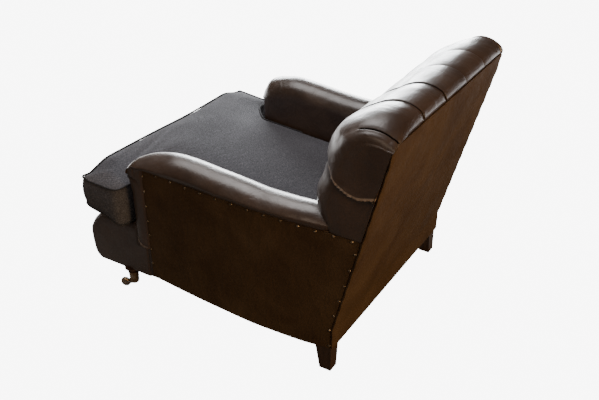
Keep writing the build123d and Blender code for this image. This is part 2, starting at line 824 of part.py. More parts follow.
# Webbing across the back frame, uprights over the level straps
webbing_low_z = back_lower_rail_bottom + back_lower_rail_height / 3
webbing_high_z = back_post_top - back_top_rail_height / 3
rake = radians(back_rake)
webbing_normal = Vector(0, -cos(rake), sin(rake))
webbing_origin = Vector(0, timber_front(webbing_low_z), webbing_low_z)
webbing_run = (webbing_high_z - webbing_low_z) / cos(rake)
with BuildPart() as back_webbing:
    with BuildSketch(Plane(origin=webbing_origin, x_dir=(1, 0, 0), z_dir=webbing_normal)):
        with Locations(*[(0, webbing_run * share) for share in webbing_level_shares]):
            Rectangle(2 * side_outer_x - side_rail_thickness, webbing_width)
    extrude(amount=webbing_thickness)
    upright_step = 2 * side_inner_x / (webbing_upright_count + 1)
    upright_origin = webbing_origin + webbing_normal * webbing_thickness
    with BuildSketch(Plane(origin=upright_origin, x_dir=(1, 0, 0), z_dir=webbing_normal)):
        upright_places = [upright_step * (i + 1) - side_inner_x for i in range(webbing_upright_count)]
        with Locations(*[(x, webbing_run / 2) for x in upright_places]):
            Rectangle(webbing_width, webbing_run)
    extrude(amount=webbing_thickness)
back_webbing.part.label = "back_webbing"
export_step(back_webbing.part, "parts/back_webbing.step")

# The hollow between the back posts, behind the webbing
hollow_depth = webbing_thickness * 2
with BuildPart() as back_hollow:
    with BuildSketch(Plane.YZ.offset(-side_inner_x)):
        hollow_top = back_post_top - back_top_rail_height
        with BuildLine():
            Polyline(
                (timber_front(back_pad_bottom) - hollow_depth, back_pad_bottom - cut_overrun),
                (timber_front(back_pad_bottom) - hollow_depth, back_pad_bottom),
                (timber_front(webbing_high_z) - hollow_depth, webbing_high_z),
                (timber_front(webbing_high_z), webbing_high_z),
                (timber_front(hollow_top), hollow_top),
                (timber_rear(hollow_top) + cut_overrun, hollow_top),
                (timber_rear(back_pad_bottom) + cut_overrun, back_pad_bottom - cut_overrun),
                close=True,
            )
        make_face()
    extrude(amount=2 * side_inner_x)


def cut_from(piece, cutters):
    with BuildPart() as remainder:
        add(piece)
        for cutter in cutters:
            add(cutter, mode=Mode.SUBTRACT)
    return remainder.part


def mirrored(piece):
    with BuildPart() as other:
        mirror(piece, about=Plane.YZ)
    return other.part


# The front bolster, with a return along each side as far as the column of nails

def bolster_profile(x, inset, skin):
    middle = (front_y + inset + skin, bolster_middle_height)
    top = (front_y + bolster_top_setback + inset / 2, bolster_top_height - inset - skin)
    chin = (front_y + bolster_chin_setback + (inset + skin) / 2, bolster_chin_height + skin)
    with BuildSketch(Plane.YZ.offset(x)) as profile:
        with BuildLine():
            Line((front_rail_y, floor_gap), chin)
            TangentArc(middle, chin, tangent=(0, -1))
            TangentArc(middle, top, tangent=(0, 1))
            Polyline(
                top,
                (front_y + bolster_depth, top[1]),
                (front_y + bolster_depth, rail_top + spring_space),
                (front_rail_y, rail_top + spring_space),
                (front_rail_y, floor_gap),
            )
        make_face()
    return profile.sketch


def bolster_body(skin):
    """The bolster and its side returns inside a skin of the given thickness."""
    straight = panel_x - bolster_end_round
    with BuildPart() as body:
        extrude(bolster_profile(-straight, 0, skin), amount=2 * straight, dir=(1, 0, 0))
        for side in (1, -1):
            slices = []
            for place, turned in zip(bolster_end_shares, bolster_round_shares):
                x = side * (straight + (bolster_end_round - skin) * place)
                slices.append(bolster_profile(x, bolster_end_round * turned * crown_share, skin))
            loft(slices)
        for side in (1, -1):
            with BuildSketch(Plane.XZ.offset(-arm_start_y)):
                face_x = panel_x - skin
                top_z = bolster_top_height - skin
                with BuildLine():
                    Polyline(
                        (side * (face_x - bolster_end_round / 2), top_z),
                        (side * seat_half, top_z),
                        (side * seat_half, rail_top),
                        (side * side_outer_x, rail_top),
                        (side * side_outer_x, floor_gap),
                        (side * face_x, floor_gap),
                        (side * face_x, top_z - bolster_end_round / 2),
                    )
                    TangentArc(
                        (side * face_x, top_z - bolster_end_round / 2),
                        (side * (face_x - bolster_end_round / 2), top_z),
                        tangent=(0, 1),
                    )
                make_face()
            extrude(amount=arm_start_y - front_rail_y - front_rail_thickness / 2)
    return body.part


# Everything under the cushion stops a little below the plane that it lies on.
with BuildPart() as above_seat:
    with BuildSketch(seat_plane(-soft_gap)):
        Rectangle(2 * overall_depth, 2 * overall_depth)
    extrude(amount=overall_height)

right_arm_outer = mirrored(arm_outer)
bolster_outer = bolster_body(0)
bolster_inner = bolster_body(cover_thickness)
bolster_cutters = [above_seat.part, arm_outer, right_arm_outer]
print("bolsters", bolster_outer.volume, bolster_inner.volume)

# Nails: a dome on a short shank, driven along X into each side
with BuildPart() as nail:
    with BuildSketch(Plane.XZ):
        with BuildLine():
            Polyline(
                (0, nail_dome),
                (0, -nail_shank_length),
                (nail_shank_diameter / 2, -nail_shank_length),
                (nail_shank_diameter / 2, 0),
                (nail_diameter / 2, 0),
            )
            TangentArc((0, nail_dome), (nail_diameter / 2, 0), tangent=(1, 0))
        make_face()
    revolve(axis=Axis.Z)


def nail_row(points):
    """Nails at points on the left side, their heads pressed a little into the leather."""
    with BuildPart() as row:
        for x, y, z in points:
            with Locations(Plane(origin=(x - nail_sink, y, z), x_dir=(0, 1, 0), z_dir=(1, 0, 0))):
                add(nail.part)
    return row.part


side_points = []
column_top = crease_at(nail_column_y) - nail_column_drop
column_low = floor_gap + nail_inset
column_count = round((column_top - column_low) / nail_pitch)
for i in range(column_count):
    z = column_top - (column_top - column_low) * i / column_count
    side_points.append((side_surface(nail_column_y, z), nail_column_y, z))
row_end = timber_rear(crease_height_rear) - nail_pitch / 2
row_count = round((row_end - nail_column_y) / nail_pitch)
for i in range(row_count):
    y = nail_column_y + (row_end - nail_column_y) * (i + 1) / row_count
    z = crease_at(y) - nail_inset
    side_points.append((side_surface(y, z), y, z))
side_nails = nail_row(side_points)

edge_points = []
edge_top = back_edge_height - nail_pitch
edge_count = round((edge_top - column_low) / nail_pitch)
for i in range(edge_count + 1):
    z = column_low + (edge_top - column_low) * i / edge_count
    y = timber_rear(z) - nail_inset
    edge_points.append((side_surface(y, z) if z < crease_height_rear else back_half, y, z))
edge_nails = nail_row(edge_points)
write_pair(side_nails, "side_nails")
write_pair(edge_nails, "back_edge_nails")

# Covers and stuffing
outer_side_piece = cut_from(outer_side.part, [side_nails, edge_nails, arm_outer, rear_leg.part])
write_pair(outer_side_piece, "outer_side")
post_pair = [back_post.part, right_back_post]
back_neighbours = [outer_side.part, mirrored(outer_side.part), edge_nails, mirrored(edge_nails)]
arm_rails = [arm_rail.part, right_arm_rail, arm_lower_rail.part, right_arm_lower_rail]
back_timber = [back_top_rail, back_lower_rail, *arm_rails, *post_pair]
back_cover = cut_from(back_outer, [back_inner, back_hollow.part, *back_timber, *back_neighbours])
write_piece(back_cover, "back_cover")
back_stuffing = cut_from(back_inner, [back_hollow.part, back_webbing.part, *back_timber, *back_neighbours])
write_piece(back_stuffing, "back_stuffing")

arm_cover = cut_from(arm_outer, [arm_inner, back_outer, side_nails])
write_pair(arm_cover, "arm_cover")
arm_timber = [arm_rail.part, arm_lower_rail.part, arm_post.part, back_post.part, side_rail.part]
with BuildPart() as arm_hollow:
    with BuildSketch(Plane.XY.offset(rail_top)):
        with Locations((side_inner_x, arm_start_y)):
            Rectangle(
                cut_overrun, arm_end_y - arm_start_y + cut_overrun, align=(Align.MIN, Align.MIN)
            )
    extrude(amount=arm_rail_bottom - rail_top)
arm_stuffing = cut_from(arm_inner, [arm_hollow.part, back_outer, side_nails, *arm_timber])
write_pair(arm_stuffing, "arm_stuffing")

border_cover = cut_from(bolster_outer, [bolster_inner, *bolster_cutters])
write_piece(border_cover, "border_cover")
border_stuffing = cut_from(
    bolster_inner, [*bolster_cutters, side_rail.part, mirrored(side_rail.part)]
)
write_piece(border_stuffing, "border_stuffing")

with BuildPart() as outer_back:
    with BuildSketch(Plane.YZ.offset(-panel_x)):
        with BuildLine():
            Polyline(
                (timber_rear(floor_gap), floor_gap),
                (timber_rear(back_bend_height), back_bend_height),
                (timber_rear(back_edge_height), back_edge_height),
                (rear_face(back_edge_height), back_edge_height),
                (rear_face(back_bend_height), back_bend_height),
                (rear_face(floor_gap), floor_gap),
                close=True,
            )
        make_face()
    extrude(amount=2 * panel_x)
outer_back.part.label = "outer_back"
export_step(outer_back.part, "parts/outer_back.step")

# Buttons
with BuildPart() as button:
    with BuildSketch(Plane.XZ):
        with BuildLine():
            button_rim = button_height / 4
            Polyline((0, button_height), (0, 0), (button_diameter / 2, 0), (button_diameter / 2, button_rim))
            TangentArc((0, button_height), (button_diameter / 2, button_rim), tangent=(1, 0))
        make_face()
    revolve(axis=Axis.Z)
with BuildPart() as back_buttons:
    for x, z in buttons:
        seat = on_front(x, z) - front_normal * tuft_depth
        with Locations(Plane(origin=seat, x_dir=(1, 0, 0), z_dir=front_normal)):
            add(button.part)
back_buttons.part.label = "back_buttons"
export_step(back_buttons.part, "parts/back_buttons.step")

# Springs: level zigzags from the front rail to the rear rail
spring_front_y = front_rail_y + front_rail_thickness / 2
spring_rear_y = rear_rail_front_y + rear_rail_thickness / 2
spring_z = rail_top + spring_wire / 2 + clip_wall
spring_run = spring_rear_y - spring_front_y
bend_count = round(spring_run / (2 * spring_bend_radius))
bend = spring_run / bend_count / 2
spring_step = seat_width / spring_count
spring_places = [spring_step * (i - (spring_count - 1) / 2) for i in range(spring_count)]
straight_half = spring_half_width - bend
with BuildPart() as spring:
    with BuildLine() as spring_path:
        for i in range(bend_count + 1):
            y = spring_front_y + 2 * bend * i
            side = 1 if i % 2 == 0 else -1
            Line((-side * straight_half, y, spring_z), (side * straight_half, y, spring_z))
            if i < bend_count:
                ThreePointArc(
                    (side * straight_half, y, spring_z),
                    (side * (straight_half + bend), y + bend, spring_z),
                    (side * straight_half, y + 2 * bend, spring_z),
                )
    spring_start = (-straight_half, spring_front_y, spring_z)
    with BuildSketch(Plane(origin=spring_start, x_dir=(0, 1, 0), z_dir=(1, 0, 0))):
        Circle(spring_wire / 2)
    sweep(path=spring_path.line)
with BuildPart() as seat_springs:
    with Locations(*[(x, 0, 0) for x in spring_places]):
        add(spring.part)
seat_springs.part.label = "seat_springs"
export_step(seat_springs.part, "parts/seat_springs.step")

with BuildPart() as clip:
    clip_height = spring_wire + 2 * clip_wall
    with BuildSketch(Plane.YZ.offset(-clip_length / 2)):
        with Locations((0, rail_top + clip_height / 2)):
            Rectangle(clip_width, clip_height)
        with Locations((0, spring_z)):
            Circle(spring_wire / 2, mode=Mode.SUBTRACT)
    extrude(amount=clip_length)
with BuildPart() as spring_clips:
    with Locations(*[(x, y, 0) for x in spring_places for y in (spring_front_y, spring_rear_y)]):
        add(clip.part)
spring_clips.part.label = "spring_clips"
export_step(spring_clips.part, "parts/spring_clips.step")

# The stuffed deck between the arms, carried by the springs
deck_bottom = spring_z + spring_wire / 2 + soft_gap
with BuildPart() as seat_deck:
    deck_front = front_y + bolster_depth
    deck_rear = back_front(back_pad_bottom) - back_belly
    with BuildSketch(Plane.YZ.offset(-seat_half)):
        with BuildLine():
            Polyline(
                (deck_front, deck_bottom),
                (deck_rear, deck_bottom),
                (deck_rear, seat_height_at(deck_rear) - soft_gap),
                (deck_front, seat_height_at(deck_front) - soft_gap),
                close=True,
            )
        make_face()
    extrude(amount=seat_width)
seat_deck.part.label = "seat_deck"
export_step(seat_deck.part, "parts/seat_deck.step")

with BuildPart() as base_cloth:
    with BuildSketch(Plane.XY.offset(floor_gap - base_cloth_thickness)):
        cloth_front = front_rail_y + base_cloth_margin
        cloth_rear = timber_rear(floor_gap) - base_cloth_margin
        with Locations((0, (cloth_front + cloth_rear) / 2)):
            Rectangle(2 * (side_outer_x - base_cloth_margin), cloth_rear - cloth_front)
        for side in (-1, 1):
            with Locations((side * front_leg_x, front_leg_y)):
                Circle(front_leg_top_diameter / 2 + soft_gap, mode=Mode.SUBTRACT)
            with Locations((side * rear_leg_x, rear_leg_y)):
                Rectangle(
                    rear_leg_top_width + 2 * soft_gap, rear_leg_top_depth + 2 * soft_gap, mode=Mode.SUBTRACT
                )
    extrude(amount=base_cloth_thickness)
base_cloth.part.label = "base_cloth"
export_step(base_cloth.part, "parts/base_cloth.step")
print("covers, stuffing, springs and cloth written")

# The seat cushion: a T in plan, with drawn-in sides and a crown over each part
cushion_half = cushion_main_width / 2
ear_half = cushion_front_width / 2
slope_stretch = 1 / cos(radians(seat_slope))


def cushion_outline(height, grow):
    """The T-shaped outline at a height above the seat plane, grown by an amount."""
    front, rear = -grow, (cushion_length + grow) * slope_stretch
    notch = (cushion_ear_depth + grow) * slope_stretch
    main, ear = cushion_half + grow, ear_half - cushion_border_swell + grow
    draw = cushion_draw_in
    with BuildSketch(seat_plane(height)) as outline:
        with BuildLine():
            ThreePointArc((-ear, front), (0, front + draw), (ear, front))
            ThreePointArc((ear, front), (ear - draw, (front + notch) / 2), (ear, notch))
            Line((ear, notch), (main, notch))
            ThreePointArc((main, notch), (main - draw / 2, (notch + rear) / 2), (main, rear))
            ThreePointArc((main, rear), (0, rear - draw), (-main, rear))
            ThreePointArc((-main, rear), (-main + draw / 2, (notch + rear) / 2), (-main, notch))
            Line((-main, notch), (-ear, notch))
            ThreePointArc((-ear, notch), (-ear + draw, (front + notch) / 2), (-ear, front))
        make_face()
        corners = outline.vertices()
        notches = corners.filter_by(lambda v: abs(abs(v.X) - main) < draw and v.Y < rear / 2)
        fillet(notches, cushion_notch_radius)
        corners = outline.vertices()
        fillet(corners.filter_by(lambda v: abs(v.X) > ear - draw or v.Y > rear - draw), cushion_corner_radius)
    return outline.sketch


def crown_slices(half, stretch, height, places, rises):
    """Full, flat-topped slices across the cushion, standing on its top seam."""
    slices = []
    seam = seat_plane(cushion_border_height)
    for place, rise in zip(places, rises):
        origin = seam.from_local_coords((0, stretch * place * slope_stretch, 0))
        top = height * rise
        turn_x = half - crown_shoulder * crown_turn_share
        brow_x = half - crown_shoulder
        with BuildSketch(Plane(origin=origin, x_dir=(1, 0, 0), z_dir=-seam.y_dir)) as arch:
            with BuildLine():
                brow = top * brow_share
                Line((-half, 0), (half, 0))
                ThreePointArc((half, 0), (turn_x, brow * brow_share), (brow_x, brow))
                ThreePointArc((brow_x, brow), (0, top), (-brow_x, brow))
                ThreePointArc((-brow_x, brow), (-turn_x, brow * brow_share), (-half, 0))
            make_face()
        slices.append(arch.sketch)
    return slices


seam_tuck = cushion_border_swell
piping_radius = piping_diameter / 2
lower_seam = cushion_outline(piping_radius, -seam_tuck)
upper_seam = cushion_outline(cushion_border_height, -seam_tuck)
with BuildPart() as cushion_piping:
    for seam in (lower_seam, upper_seam):
        seam_line = seam.faces()[0].outer_wire()
        seam_start = Plane(origin=seam_line @ 0, z_dir=seam_line % 0)
        with BuildSketch(seam_start):
            Circle(piping_radius)
        sweep(path=seam_line)
cushion_piping.part.label = "cushion_piping"
export_step(cushion_piping.part, "parts/cushion_piping.step")

with BuildPart() as seat_cushion:
    bottom = cushion_outline(0, -seam_tuck - piping_radius / 2)
    middle = cushion_outline(cushion_border_height / 2, 0)
    loft([bottom, lower_seam, middle, upper_seam])
    crown_half = cushion_half - 2 * seam_tuck
    ear_crown_half = ear_half - 4 * seam_tuck
    main_shares = (main_place_shares, main_rise_shares)
    ear_shares = (ear_place_shares, ear_rise_shares)
    loft(crown_slices(crown_half, cushion_length, cushion_crown, *main_shares))
    loft(crown_slices(ear_crown_half, cushion_ear_depth, cushion_ear_crown, *ear_shares))
    add(cushion_piping.part, mode=Mode.SUBTRACT)
seat_cushion.part.label = "seat_cushion"
export_step(seat_cushion.part, "parts/seat_cushion.step")
print("cushion and piping written")
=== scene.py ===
import math

import bpy
import numpy as np
from mathutils import Matrix, Vector


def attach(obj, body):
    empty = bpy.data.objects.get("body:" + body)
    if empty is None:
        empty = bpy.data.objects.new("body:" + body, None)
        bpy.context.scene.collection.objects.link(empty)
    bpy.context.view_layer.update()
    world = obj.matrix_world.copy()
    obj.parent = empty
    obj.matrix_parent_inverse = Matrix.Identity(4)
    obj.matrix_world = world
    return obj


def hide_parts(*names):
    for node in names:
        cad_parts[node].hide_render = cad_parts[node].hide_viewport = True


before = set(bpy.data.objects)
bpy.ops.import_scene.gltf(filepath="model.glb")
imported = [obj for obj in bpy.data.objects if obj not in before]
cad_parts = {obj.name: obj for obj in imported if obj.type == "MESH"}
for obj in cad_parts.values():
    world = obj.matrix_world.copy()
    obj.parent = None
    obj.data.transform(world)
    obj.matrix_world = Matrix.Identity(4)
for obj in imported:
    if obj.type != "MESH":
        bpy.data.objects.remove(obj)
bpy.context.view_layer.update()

mm = 0.001


# small helpers

def deselectAll():
    if bpy.context.object and bpy.context.object.mode != "OBJECT":
        bpy.ops.object.mode_set(mode="OBJECT")
    bpy.ops.object.select_all(action="DESELECT")


def pick(piece):
    deselectAll()
    piece.select_set(True)
    bpy.context.view_layer.objects.active = piece


def rename(piece, name):
    piece.name = name
    piece.data.name = name


def applyModifiers(piece):
    pick(piece)
    for modifier in list(piece.modifiers):
        bpy.ops.object.modifier_apply(modifier=modifier.name)


def outwardNormals():
    bpy.ops.mesh.select_all(action="SELECT")
    bpy.ops.mesh.normals_make_consistent(inside=False)
    bpy.ops.object.mode_set(mode="OBJECT")


def tidyMesh(piece, smoothAngle=50, merge=0.0002):
    pick(piece)
    bpy.ops.object.mode_set(mode="EDIT")
    bpy.ops.mesh.select_mode(type="VERT")
    bpy.ops.mesh.select_all(action="SELECT")
    bpy.ops.mesh.remove_doubles(threshold=merge)
    bpy.ops.mesh.fill_holes(sides=0)
    outwardNormals()
    bpy.ops.object.shade_smooth_by_angle(angle=math.radians(smoothAngle))


# a grid is added flat, then each of its points is set where the leather or cloth goes
def shapedGrid(name, across, along, pointAt, smoothAngle=50, wall=0, side=-1):
    deselectAll()
    bpy.ops.mesh.primitive_grid_add(x_subdivisions=across, y_subdivisions=along, size=1)
    piece = bpy.context.object
    rename(piece, name)
    for vert in piece.data.vertices:
        vert.co = Vector(pointAt(vert.co.x + 0.5, vert.co.y + 0.5)) * mm
    if wall:
        solid = piece.modifiers.new("wall", "SOLIDIFY")
        solid.thickness = wall * mm
        solid.offset = side
        applyModifiers(piece)
    tidyMesh(piece, smoothAngle)
    return piece


def mirroredCopy(piece, name):
    pick(piece)
    bpy.ops.object.duplicate()
    other = bpy.context.object
    rename(other, name)
    other.scale.x = -1
    bpy.ops.object.transform_apply(location=True, rotation=True, scale=True)
    bpy.ops.object.mode_set(mode="EDIT")
    outwardNormals()
    return other


def dress(piece, material, slotName, body, *nodes):
    piece.data.materials.clear()
    piece.data.materials.append(material)
    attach(piece, body)
    if nodes:
        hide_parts(*nodes)


# smooth values between the rows of a table, by the first number of each row
def smoothTable(rows, at):
    keys = [row[0] for row in rows]
    if at <= keys[0]:
        return list(rows[0][1:])
    if at >= keys[-1]:
        return list(rows[-1][1:])
    i = max(k for k in range(len(keys)) if keys[k] <= at)
    step = keys[i + 1] - keys[i]
    t = (at - keys[i]) / step
    values = []
    for c in range(1, len(rows[0])):
        here, there = rows[i][c], rows[i + 1][c]
        slope = (there - here) / step
        before = (here - rows[i - 1][c]) / (keys[i] - keys[i - 1]) if i > 0 else slope
        after = (rows[i + 2][c] - there) / (keys[i + 2] - keys[i + 1]) if i + 2 < len(rows) else slope
        inSlope = 0 if before * slope <= 0 else 2 * before * slope / (before + slope)
        outSlope = 0 if after * slope <= 0 else 2 * after * slope / (after + slope)
        t2, t3 = t * t, t * t * t
        values.append((2 * t3 - 3 * t2 + 1) * here + (t3 - 2 * t2 + t) * step * inSlope
                      + (-2 * t3 + 3 * t2) * there + (t3 - t2) * step * outSlope)
    return values


# straight lines between the rows of a table of two columns
def lineTable(rows, at):
    return float(np.interp(at, [row[0] for row in rows], [row[1] for row in rows]))


def clamp(value, low=0, high=1):
    return min(max(value, low), high)


def fade(low, high, value):
    t = clamp((value - low) / (high - low))
    return t * t * (3 - 2 * t)


def bump(distance, width):
    return math.exp(-(distance / width) ** 2)


# ridges beside each other, each with its height, place and width; a groove has a height below zero
def ridges(shapes, at):
    return sum(height * bump(at - place, width) for height, place, width in shapes)


# from 0 at an edge to 1 where a rounding of this radius ends
def rounding(fromEdge, radius):
    return math.sqrt(max(1 - (1 - clamp(fromEdge / radius)) ** 2, 0))


# between 0 and 1, with one top in each pitch
def wave(at, pitch):
    return 0.5 + 0.5 * math.cos(2 * math.pi * at / pitch)


def linePoints(a, b, count):
    return [(a[0] + (b[0] - a[0]) * i / count, a[1] + (b[1] - a[1]) * i / count) for i in range(count)]


def arcPoints(a, b, c, count):
    ax, ay = a
    bx, by = b
    cx, cy = c
    d = 2 * (ax * (by - cy) + bx * (cy - ay) + cx * (ay - by))
    if abs(d) < 1e-6:  # the three points lie on a line
        return linePoints(a, c, count)
    sa, sb, sc = ax * ax + ay * ay, bx * bx + by * by, cx * cx + cy * cy
    ux = (sa * (by - cy) + sb * (cy - ay) + sc * (ay - by)) / d
    uy = (sa * (cx - bx) + sb * (ax - cx) + sc * (bx - ax)) / d
    radius = math.hypot(ax - ux, ay - uy)
    start = math.atan2(ay - uy, ax - ux)
    middle = (math.atan2(by - uy, bx - ux) - start) % (2 * math.pi)
    end = (math.atan2(cy - uy, cx - ux) - start) % (2 * math.pi)
    if middle > end:
        end -= 2 * math.pi
    angles = [start + end * i / count for i in range(count)]
    return [(ux + radius * math.cos(angle), uy + radius * math.sin(angle)) for angle in angles]


# small helpers for node trees

# each input takes a value, or a link from another node's output
def setInputs(tree, node, inputs):
    for name, value in inputs.items():
        if hasattr(value, "is_linked"):
            tree.links.new(value, node.inputs[name])
        else:
            node.inputs[name].default_value = value


def addNode(tree, kind, inputs=None, **settings):
    node = tree.nodes.new("ShaderNode" + kind)
    for name, value in settings.items():
        setattr(node, name, value)
    setInputs(tree, node, inputs or {})
    return node


def mathNode(tree, operation, first, second=0.0):
    return addNode(tree, "Math", {0: first, 1: second}, operation=operation).outputs[0]


def between(tree, value, low, high):
    inputs = {"Value": value, "From Min": low, "From Max": high}
    return addNode(tree, "MapRange", inputs, interpolation_type="SMOOTHSTEP").outputs["Result"]


def spread(tree, factor, low, high, ends=(0.3, 0.7)):
    inputs = {"Value": factor, "From Min": ends[0], "From Max": ends[1], "To Min": low, "To Max": high}
    return addNode(tree, "MapRange", inputs).outputs["Result"]


def noise(tree, source, scale, detail=3, distortion=0.0, stretch=(1, 1, 1)):
    place = addNode(tree, "Mapping", {"Vector": source, "Scale": stretch}).outputs["Vector"]
    inputs = {"Vector": place, "Scale": scale, "Detail": detail, "Distortion": distortion}
    return addNode(tree, "TexNoise", inputs).outputs["Fac"]


def ramp(tree, factor, stops):
    node = addNode(tree, "ValToRGB", {"Fac": factor})
    while len(node.color_ramp.elements) < len(stops):
        node.color_ramp.elements.new(0.5)
    for element, (place, colour) in zip(node.color_ramp.elements, stops):
        element.position = place
        element.color = (*colour, 1)
    return node.outputs["Color"]


def tones(tree, factor, look, places):
    return ramp(tree, factor, list(zip(places, look["tones"])))


def blendColour(tree, factor, first, second, how="MIX"):
    inputs = {"Factor": factor, 6: first, 7: second}
    return addNode(tree, "Mix", inputs, data_type="RGBA", blend_type=how).outputs[2]


def mixShaders(tree, factor, first, second):
    return addNode(tree, "MixShader", {"Fac": factor, 1: first, 2: second}).outputs[0]


# layers: height, strength, distance, first the finest
def relief(tree, layers):
    below = {}
    for height, strength, distance in reversed(layers):
        inputs = {"Height": height, "Strength": strength, "Distance": distance, **below}
        below = {"Normal": addNode(tree, "Bump", inputs).outputs["Normal"]}
    return below["Normal"]


# camera and light first

cameraSettings = dict(
    place=(1.9566, 1.2530, 1.6560), yaw=-148.38, down=30.58, roll=-0.36,
    lens=46.95, sensor=36, shift=(-0.0014, 0.0022))
camData = bpy.data.cameras.new("photoCamera")
camData.lens = cameraSettings["lens"]
camData.sensor_width = cameraSettings["sensor"]
camData.shift_x, camData.shift_y = cameraSettings["shift"]
camera = bpy.data.objects.new("photoCamera", camData)
bpy.context.collection.objects.link(camera)
yaw, down = math.radians(cameraSettings["yaw"]), math.radians(cameraSettings["down"])
looking = Vector((math.cos(down) * math.cos(yaw), math.cos(down) * math.sin(yaw), -math.sin(down)))
rolled = Matrix.Rotation(math.radians(cameraSettings["roll"]), 3, "Z").to_quaternion()
camera.location = cameraSettings["place"]
camera.rotation_euler = (looking.to_track_quat("-Z", "Y") @ rolled).to_euler()
bpy.context.scene.camera = camera

lights = {  # place, aim, width, depth, power, colour
    "window": ((-3.4, -2.0, 1.4), (0, 0.1, 0.6), 2.4, 1.4, 310, (0.95, 0.98, 1.0)),
    "overhead": ((0.1, -0.7, 2.7), (0.1, -0.2, 0.4), 1.7, 1.7, 54, (1.0, 0.97, 0.96)),
    "rearSide": ((0.9, 3.3, 1.4), (0, 0.4, 0.5), 1.5, 1.4, 84, (1.0, 0.68, 0.38)),
    "cameraFill": ((3.4, 0.1, 2.0), (0, 0, 0.3), 1.6, 1.2, 12, (1.0, 0.8, 0.62)),
}
for lightName, (place, aim, wide, deep, power, colour) in lights.items():
    lamp = bpy.data.lights.new(lightName, "AREA")
    lamp.shape = "RECTANGLE"
    lamp.size = wide
    lamp.size_y = deep
    lamp.energy = power
    lamp.color = colour
    holder = bpy.data.objects.new(lightName, lamp)
    bpy.context.collection.objects.link(holder)
    holder.location = place
    holder.rotation_euler = (Vector(aim) - Vector(place)).to_track_quat("-Z", "Y").to_euler()

# the camera sees a pale sky, and everything else is lit by a dim one
skyLook = dict(
    pale={"Color": (1, 1, 1, 1), "Strength": 9.0},
    dim={"Color": (1, 0.88, 0.76, 1), "Strength": 0.08})
world = bpy.data.worlds.new("paleStudio")
world.use_nodes = True
bpy.context.scene.world = world
worldTree = world.node_tree
worldTree.nodes.clear()
seen = addNode(worldTree, "LightPath").outputs["Is Camera Ray"]
skies = [addNode(worldTree, "Background", skyLook[sky]).outputs[0] for sky in ("dim", "pale")]
addNode(worldTree, "OutputWorld", {"Surface": mixShaders(worldTree, seen, *skies)})
print("camera and lights placed")


# materials

def startMaterial(name, roughness, metallic=0.0):
    material = bpy.data.materials.new(name)
    material.use_nodes = True
    tree = material.node_tree
    shader = tree.nodes["Principled BSDF"]
    setInputs(tree, shader, {"Roughness": roughness, "Metallic": metallic})
    return material, tree, shader, addNode(tree, "TexCoord").outputs["Object"]


def makeLeather(name, look):
    material, tree, shader, where = startMaterial(name, look["roughness"])
    patches = noise(tree, where, scale=6, detail=5, distortion=0.6)
    base = tones(tree, patches, look, (0.32, 0.55, 0.8))
    specks = noise(tree, where, scale=260, detail=2)
    specks = ramp(tree, specks, [(0.35, (0.78, 0.76, 0.74)), (0.65, (1, 1, 1))])
    worn = noise(tree, where, scale=14, detail=4)
    grain = addNode(tree, "TexVoronoi", {"Vector": where, "Scale": look["grain"]}).outputs["Distance"]
    pulls = noise(tree, where, scale=18, detail=4, distortion=1.2, stretch=look["pull"])
    dents = noise(tree, where, scale=5, detail=2, distortion=0.5)
    setInputs(tree, shader, {
        "Base Color": blendColour(tree, 1.0, base, specks, "MULTIPLY"),
        "Roughness": spread(tree, worn, look["roughness"] - 0.1, look["roughness"] + 0.1),
        "Normal": relief(tree, [(grain, 0.22, 0.0004), (pulls, 0.5, 0.005), (dents, 0.45, 0.012)]),
        "Specular IOR Level": look["gloss"], "Coat Weight": look["coat"], "Coat Roughness": 0.25})
    return material, tree, shader, where


leatherLook = dict(
    tones=((0.029, 0.0145, 0.0085), (0.048, 0.026, 0.0155), (0.076, 0.044, 0.028)),
    roughness=0.42, grain=700, gloss=0.7, coat=0.38, pull=(1, 1, 1))
panelLook = dict(
    tones=((0.062, 0.036, 0.019), (0.084, 0.051, 0.0265), (0.108, 0.068, 0.036)),
    roughness=0.6, grain=700, gloss=0.08, coat=0, pull=(1, 1.3, 0.6))
leather = makeLeather("chocolateLeather", leatherLook)[0]
panelLeather = makeLeather("panelLeather", panelLook)[0]

# painted shade and highlight: the pleats and the end seam are painted as dark lines of shade; the long side
# fold has a painted highlight along its edge and painted shade under it; all in metres
backMarks = dict(
    pitch=0.0735, pleatLine=(0.0717, 0.0729), pleatHeights=(0.64, 0.66), pastPleats=(0.3, 0.301),
    endSeam=0.3685, seamLine=(0.0042, 0.0022), seamDepths=(0.447, 0.453), seamHeights=(0.76, 0.77),
    foldFront=0.34, foldReach=0.2, foldLow=0.6, foldRise=0.1, foldSides=(0.355, 0.372),
    foldStartShares=(0, 1), foldEndShares=(1, 0.45),  # of the reach and of the rise
    foldShares=((0.06, 0.88), (0.14, 0.77), (0.22, 0.65), (0.3, 0.51), (0.4, 0.4), (0.525, 0.3),
                (0.65, 0.28), (0.8, 0.35)),
    # edge: a painted highlight along the side fold's edge; shade: painted shade under the fold
    edgeHeight=0.0065, edgeLine=(0.0055, 0.002), highlightStrength=0.8, highlightColour=(0.3, 0.22, 0.165, 1),
    shadeBelow=(-0.022, -0.003), shadeTop=(0.0005, -0.002), shadeStrength=0.55,
    # thread is the dark colour of the painted shade in the pleat and seam lines and under the fold
    thread=(0.003, 0.002, 0.0015, 1))


